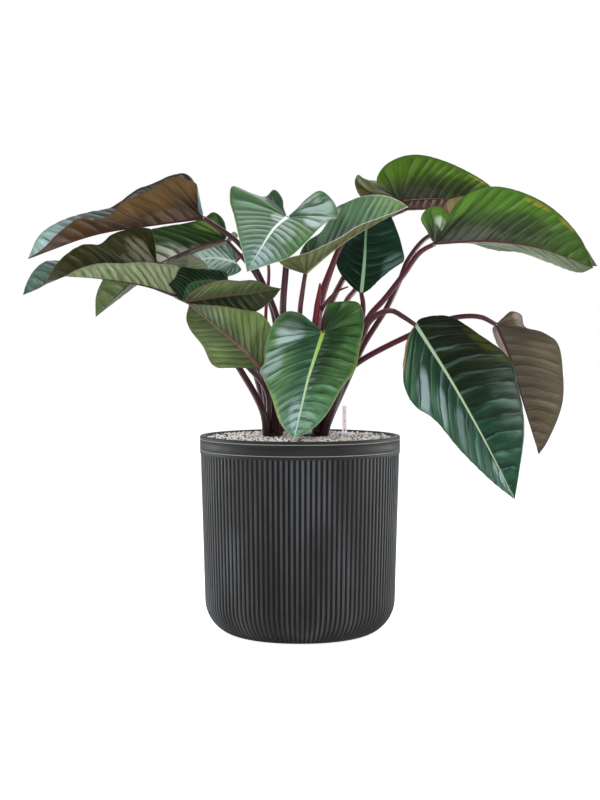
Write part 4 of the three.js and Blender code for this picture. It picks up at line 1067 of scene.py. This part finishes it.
def half_blade(leaf, side):
    """One half of a blade on a grid of columns, which follow the side veins, and strips from
    the midrib out. A column is an arc from its root on the midrib, or on a ring round the
    junction in the lobe, to its place on the margin. With its points come across, from 0 at the
    midrib to 1 or -1 at the margin, the vein count, the width from the midrib in half widths of
    the rib, the metres to the edge, the rib's taper, and the reach, which is the vein's length."""
    half = 0 if side > 0 else 1
    rib_places, edge_places = placed(leaf["rib"]), placed(leaf[("right", "left")[half]])
    lead, arch = leaf["lead"][half], leaf["arch"][half]
    junction, tip = rib_places[0], rib_places[-1]
    rib = curve_through(rib_places, CURVE_SAMPLES)[0]
    margin = curve_through(np.vstack([junction, edge_places, tip]), CURVE_SAMPLES)[0]
    rib_hub, edge_hub = HUB / steps_of(rib).sum(), HUB / steps_of(margin).sum()
    rays, chord = margin - junction, tip - junction
    abreast = np.maximum(np.maximum.accumulate(rays @ chord / (chord @ chord)), 0)
    sizes = np.linalg.norm(rays, axis=1)
    cosine = np.sum(unit(rays[1:]) * unit(rays[:-1]), axis=1).clip(-1, 1)
    seen = (sizes[1:] > HUB) & (sizes[:-1] > HUB)
    turns = np.append(0, np.cumsum(np.where(seen, np.arccos(cosine), 0)))
    fan_end = share_at(abreast, lead)
    whole = np.interp(fan_end, np.linspace(0, 1, len(turns)), turns)
    notch = share_at(turns, NOTCH_TURN * whole)

    k = np.linspace(0, 1, FAN_COLUMNS, endpoint=False)
    by_turn = share_at(turns, whole * (NOTCH_TURN + (1 - NOTCH_TURN) * k))
    fan_places = (by_turn + notch + (fan_end - notch) * k) / 2
    fan_ends = along(margin, fan_places)
    fan_starts = junction + HUB * unit(fan_ends - junction)
    i = np.linspace(0, 1, BODY_COLUMNS)
    share = i ** RIB_EASE
    root = rib_hub + (1 - rib_hub) * share
    body_ends = along(margin, share_at(abreast, share + lead * (1 - share ** 2)))
    body_ends[-1] = tip
    starts, ends = np.vstack([fan_starts, along(rib, root)]), np.vstack([fan_ends, body_ends])
    still = np.zeros(FAN_COLUMNS)
    roots, taper = np.append(still, root), np.append(still, share)
    sweep = np.append(still, VEIN_SWEEP * np.clip(i * SWEEP_EASE, 0, 1))

    ahead = unit(along(rib, roots + RIB_REACH) - along(rib, roots - RIB_REACH))
    vein = ends - starts
    reach = np.linalg.norm(vein, axis=1)
    up = unit(np.cross(vein, ahead)) * side
    bend = starts + 0.5 * vein - (sweep * reach)[:, None] * ahead + (arch * reach)[:, None] * up

    rib_half = fade(RIB_HALF, taper)
    spread = np.linspace(0, 1, STRIPS - len(RIB_STRIPS))[1:] ** STRIP_EASE
    near = RIB_STRIPS * np.minimum(rib_half, reach / RIB_PART)[:, None] / np.maximum(reach, 1e-9)[:, None]
    across = np.hstack([near, near[:, -1:] + (1 - near[:, -1:]) * spread])
    s = across[..., None]
    arc = (1 - s) ** 2 * starts[:, None] + 2 * s * (1 - s) * bend[:, None] + s ** 2 * ends[:, None]
    coarse = max(1, min(FAN_TURNS_MOST, round(float(whole) / FAN_TURN)))
    run = edge_hub + (np.append(fan_places, np.zeros(BODY_COLUMNS))[:, None] - edge_hub) * across
    sinus = along(margin, run.ravel()).reshape(*run.shape, 3)
    weight = np.append(np.clip(1 - k * coarse, 0, 1), np.zeros(BODY_COLUMNS))[:, None, None]

    from_rib = across * reach[:, None]
    from_rib[:FAN_COLUMNS] += HUB
    count = np.append((k - 1) * FAN_VEINS, i * VEINS)
    return {
        "points": arc + (sinus - arc) * weight,
        "across": across * side,
        "count": np.broadcast_to(count[:, None], across.shape),
        "width": from_rib / rib_half[:, None],
        "edge": (1 - across) * reach[:, None],
        "taper": np.broadcast_to(taper[:, None], across.shape),
        "reach": np.broadcast_to(reach[:, None], across.shape),
    }


def corner_normals(points, faces):
    """Normals at the points: the sum of the normals of the faces round each, by area."""
    corners = points[faces]
    facing = np.cross(corners[:, 2] - corners[:, 0], corners[:, 3] - corners[:, 1])
    total = np.zeros_like(points)
    for corner in range(4):
        np.add.at(total, faces[:, corner], facing)
    return unit(total)


def blade_sheet(leaf):
    """Both halves as one sheet, with the points that they share along the midrib joined, raised
    into pleats: the height swings between the veins and dies away at the midrib and margin."""
    halves = [half_blade(leaf, 1), half_blade(leaf, -1)]
    columns, strips = halves[0]["across"].shape
    faces = grid_faces(columns, strips, closed=False)
    faces = np.vstack([faces, faces[:, ::-1] + columns * strips])
    values = {key: np.concatenate([half[key].reshape(-1, *half[key].shape[2:]) for half in halves])
              for key in halves[0]}
    keys = np.round(values["points"] / JOIN_WITHIN).astype(np.int64)
    _, first, joined = np.unique(keys, axis=0, return_index=True, return_inverse=True)
    values = {key: value[first] for key, value in values.items()}
    faces = joined.ravel()[faces]
    doubled = (np.diff(np.sort(faces, axis=1), axis=1) == 0).sum(1)
    faces = faces[doubled < 2]
    points = values["points"]
    out = np.abs(values["across"])
    start = np.clip(out * PLEAT_START, 0, 1)
    swell = start ** 2 * (3 - 2 * start) * (1 - PLEAT_FADE * out ** 3)
    swell = swell * np.clip(values["reach"] / PLEAT_REACH, 0, 1)
    pleat = np.abs(np.sin(np.pi * values["count"])) ** PLEAT_WIDTH - 0.5
    crest = RIB_CREST * np.clip(1 - values["width"] ** 2, 0, 1)
    height = PLEAT * leaf["pleat"] * swell * pleat + crest
    return points + corner_normals(points, faces) * height[:, None], faces, values


def blade_solid(leaf):
    """The sheet given its thickness: an upper and a lower skin, the lower one pushed down into a
    round ridge along the midrib, and a wall round their edge. With it come the values that the
    materials read and the number of each face's material."""
    points, faces, values = blade_sheet(leaf)
    normals = corner_normals(points, faces)
    ridge = np.sqrt(np.clip(1 - values["width"] ** 2, 0, 1))
    depth = HALF_THICK + fade(RIB_DEPTH, values["taper"]) * ridge
    amount = len(points)
    sides = np.vstack([faces[:, [c, (c + 1) % 4]] for c in range(4)])
    start, end = sides[sides[:, 0] != sides[:, 1]].T
    alone = ~np.isin(start * amount + end, end * amount + start)
    start, end = start[alone], end[alone]
    wall = np.stack([end, start, start + amount, end + amount], -1)
    solid = np.vstack([faces, faces[:, ::-1] + amount, wall])
    slots = np.repeat([0, 1, 2], [len(faces), len(faces), len(wall)])
    values = {key: np.tile(values[key], 2) for key in ("across", "count", "width", "edge", "taper")}
    skins = np.vstack([points + normals * HALF_THICK, points - normals * depth[:, None]])
    return skins, solid, values, slots


# A skin's gloss, the depth of its painted light and shade, the strength of the painted highlights
# in pale stripes and sheen and of the painted shade along its veins, and the form of a vein's crease
FACE_LOOK = {"coat": 0.2, "rough": 0.36, "gloss": 0.4, "stripe": 0.25, "pale": "9fc0b4", "depth": 0.8}
FACE_LOOK |= {"sheen": 0.3, "crease_shade": 0.65, "dark": "0a1a0e", "crease": 0.22, "streaks": 6.0}
UNDER_LOOK = {"coat": 0.05, "rough": 0.45, "gloss": 0.3, "stripe": 0.15, "pale": "a8a582", "depth": 0.5}
UNDER_LOOK |= {"sheen": 0.12, "crease_shade": 0.45, "dark": "15120a", "crease": 0.22, "streaks": 6.0}
EDGE_LOOK = UNDER_LOOK | {"stripe": 0.0, "depth": 0.0, "sheen": 0.0, "crease_shade": 0.0}
# Where the marks rise or fall: in shares of the way from one side vein to the next, in metres from
# the margin, and in half widths of the midrib
VEIN_SHIFT = 8.0
VEIN_EARLY = 0.02
RIDGE_FALL = (0.4, 1.0)
HIGHLIGHT_STRIPE_FALL = (0.15, 0.6)
CREASE_SHADE_FALL = (0.015, 0.07)
SHEEN_RISE = (0.04, 0.1)
SHEEN_FALL = (0.1, 0.3)
INNER_RISE = (0.001, 0.012)
MARGIN_FALL = (0.0004, 0.0014)
MIDRIB_FALL = (0.75, 1.15)


def vein_marks():
    """A group that turns the values on a blade into its marks. Ridge is low in the crease at a
    side vein, highest soon after it and falls off to the next, and some creases are shallow.
    Crease_shade is the thin line of painted shade in the vein's crease, and Sheen the painted
    highlight on the lit strip beside it. Band is a slow swing along the blade, Highlight_stripe
    is a painted highlight on its pale peaks between two veins, and Midrib, Margin and Mottle speak
    for themselves. Crease is the width of a crease as a share of the way to the next vein, and
    Streaks how many fine streaks lie between two."""
    group = bpy.data.node_groups.new("vein_marks", "ShaderNodeTree")
    for name in ("Crease", "Streaks"):
        group.interface.new_socket(name, in_out="INPUT", socket_type="NodeSocketFloat")
    given = add_node(group, "NodeGroupInput")
    across, count, edge = read(group, "across"), read(group, "count"), read(group, "edge")
    count = count + (noise(vector(count * 0.8, across * 2.0), 1.0, 2) - 0.5) * 0.5
    streak = ramp(noise(vector(count * Value(given, "Streaks"), across * 2.5), 1.0, 3), 0.3, 0.7)
    patch = noise(vector(count * 1.7, across * 1.1), 1.0, 1)
    gone = reckon("FRACT", count + VEIN_SHIFT)
    turns = {"W": reckon("FLOOR", count + (VEIN_SHIFT + VEIN_EARLY))}
    each = Value(add_node(group, "ShaderNodeTexWhiteNoise", turns, noise_dimensions="1D"), "Value")
    shallow = ramp(each, 0.3, 1.0) * 0.6
    rise = reckon("MAXIMUM", ramp(gone, 0.0, Value(given, "Crease")), shallow)
    fall = 1 - ramp(gone, *RIDGE_FALL) * 0.75
    beside = 1 - ramp(gone, *HIGHLIGHT_STRIPE_FALL)
    inner = ramp(edge, *INNER_RISE)
    deep = inner * (1 - shallow)
    nearest = reckon("MINIMUM", gone, 1 - gone)
    sheen = ramp(gone, *SHEEN_RISE) * (1 - ramp(gone, *SHEEN_FALL)) * streak
    marks = {
        "Ridge": (rise * fall * 0.6 + streak * 0.4 - 0.5) * inner + 0.5,
        "Crease_shade": (1 - ramp(nearest, *CREASE_SHADE_FALL)) * deep,
        "Sheen": sheen * deep,
        "Highlight_stripe": ramp(patch, 0.48, 0.72) * rise * beside * inner,
        "Band": ramp(patch, 0.3, 0.7),
        "Midrib": 1 - ramp(read(group, "width"), *MIDRIB_FALL),
        "Margin": 1 - ramp(edge, *MARGIN_FALL),
        "Mottle": noise(object_place(group), 16, 3),
    }
    for name in marks:
        group.interface.new_socket(name, in_out="OUTPUT", socket_type="NodeSocketFloat")
    add_node(group, "NodeGroupOutput", marks)
    return group


marks_group = vein_marks()


def patched(colour, marks, patches):
    """A colour with soft patches in it, its pale bluish-white ones painted reflections. Each has
    its own colour, the vein count and the place across at its middle, its half width in both,
    and how strong it is."""
    across, count = read(colour.tree, "across"), read(colour.tree, "count")
    ridged = reckon("ADD", ramp(marks["Ridge"], 0.3, 0.75), 0.15, clamp=True)
    ragged = (marks["Mottle"] - 0.5) * 1.5
    for code, vein, veins, place, reach, strength in patches:
        off, aside = (count - vein) / veins, (across - place) / reach
        inside = 1 - ramp(off * off + aside * aside + ragged, 0.2, 1.1)
        colour = blend(inside * ridged * strength, colour, paint(code))
    return colour


def shaded(colour, mark, darkest, lightest):
    """A colour made darker where a mark is low and lighter where it is high."""
    low, high = [(value, value, value, 1) for value in (darkest, lightest)]
    return blend(1.0, colour, blend(mark, low, high), "MULTIPLY")


def pair(text):
    """The two texts that a comma parts, or one for both."""
    return (text.split(", ") * 2)[:2]


def leaf_material(name, skin, midrib, edge, look, patches=()):
    """One skin of a blade. Each half goes from its colour at the margin to its colour at the
    midrib and on to that at the tip, is mottled, and has painted highlight on the ridges and
    painted shade in the creases, painted highlights in pale stripes and beside its veins and
    painted shade along them, under a waxy gloss."""
    material, tree, shader = new_material(name)
    given = {"Crease": look["crease"], "Streaks": look["streaks"]}
    group = add_node(tree, "ShaderNodeGroup", given, node_tree=marks_group)
    marks = {key: Value(group, key) for key in group.outputs.keys()}
    across, taper = read(tree, "across"), read(tree, "taper")
    outward = ramp(reckon("ABSOLUTE", across) + (marks["Mottle"] - 0.5) * 0.8, 0.1, 0.85)
    sides = []
    for half in pair(skin):
        margin, inner, tip = (half.split() * 3)[:3]
        whole = blend(outward, paint(inner), paint(margin))
        sides.append(blend(ramp(taper, 0.25, 0.95), whole, paint(tip)))
    colour = blend(ramp(across, -0.02, 0.02), sides[1], sides[0])
    depth, pale = look["depth"], paint(look["pale"])
    # Painted light and shade: lighter on the ridges, darker in the creases
    colour = shaded(colour, marks["Ridge"], 1 - 0.8 * depth, 1 + 0.7 * depth)
    colour = shaded(colour, marks["Band"], 1 - 0.35 * depth, 1 + 0.3 * depth)
    # Painted highlights: pale stripes between the veins and a lit strip beside each
    colour = blend(marks["Highlight_stripe"] * look["stripe"], colour, pale)
    colour = blend(marks["Sheen"] * look["sheen"], colour, pale)
    colour = patched(colour, marks, patches)
    # Painted shade: a dark line along each vein's crease
    colour = blend(marks["Crease_shade"] * look["crease_shade"], colour, paint(look["dark"]))
    colour = blend(marks["Margin"] * 0.7, colour, paint(edge))
    colour = blend(marks["Midrib"], colour, blend(taper, paint(midrib[:6]), paint(midrib[-6:])))
    rough = look["rough"] + 0.12 - marks["Ridge"] * 0.2
    feed(shader, Base_Color=colour, Roughness=rough, Normal=bump(marks["Ridge"], 0.35, 0.0009))
    feed(shader, Coat_Weight=look["coat"], Coat_Roughness=0.22, Specular_IOR_Level=look["gloss"])
    return material


def leaf_blade(name, leaf):
    """A blade with its upper face, its paler or redder underside and its edge."""
    points, faces, values, slots = blade_solid(leaf)
    edge = leaf["edge"]
    skins = (("face", "face", FACE_LOOK), ("underside", "under", UNDER_LOOK))
    materials = [
        leaf_material(f"{name}_{side}", leaf[key], rib, edge, look | leaf["look"], leaf[f"on_{key}"])
        for (side, key, look), rib in zip(skins, pair(leaf["midrib"]))
    ]
    materials.append(leaf_material(f"{name}_edge", edge, edge, edge, EDGE_LOOK))
    made = make_piece(f"leaf_{name}", points, faces, values, materials, slots)
    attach(made, "root")
    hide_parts(f"blade_{name}")


for name, leaf in (RIGHT_LEAVES | LEFT_LEAVES).items():
    leaf_blade(name, leaf)
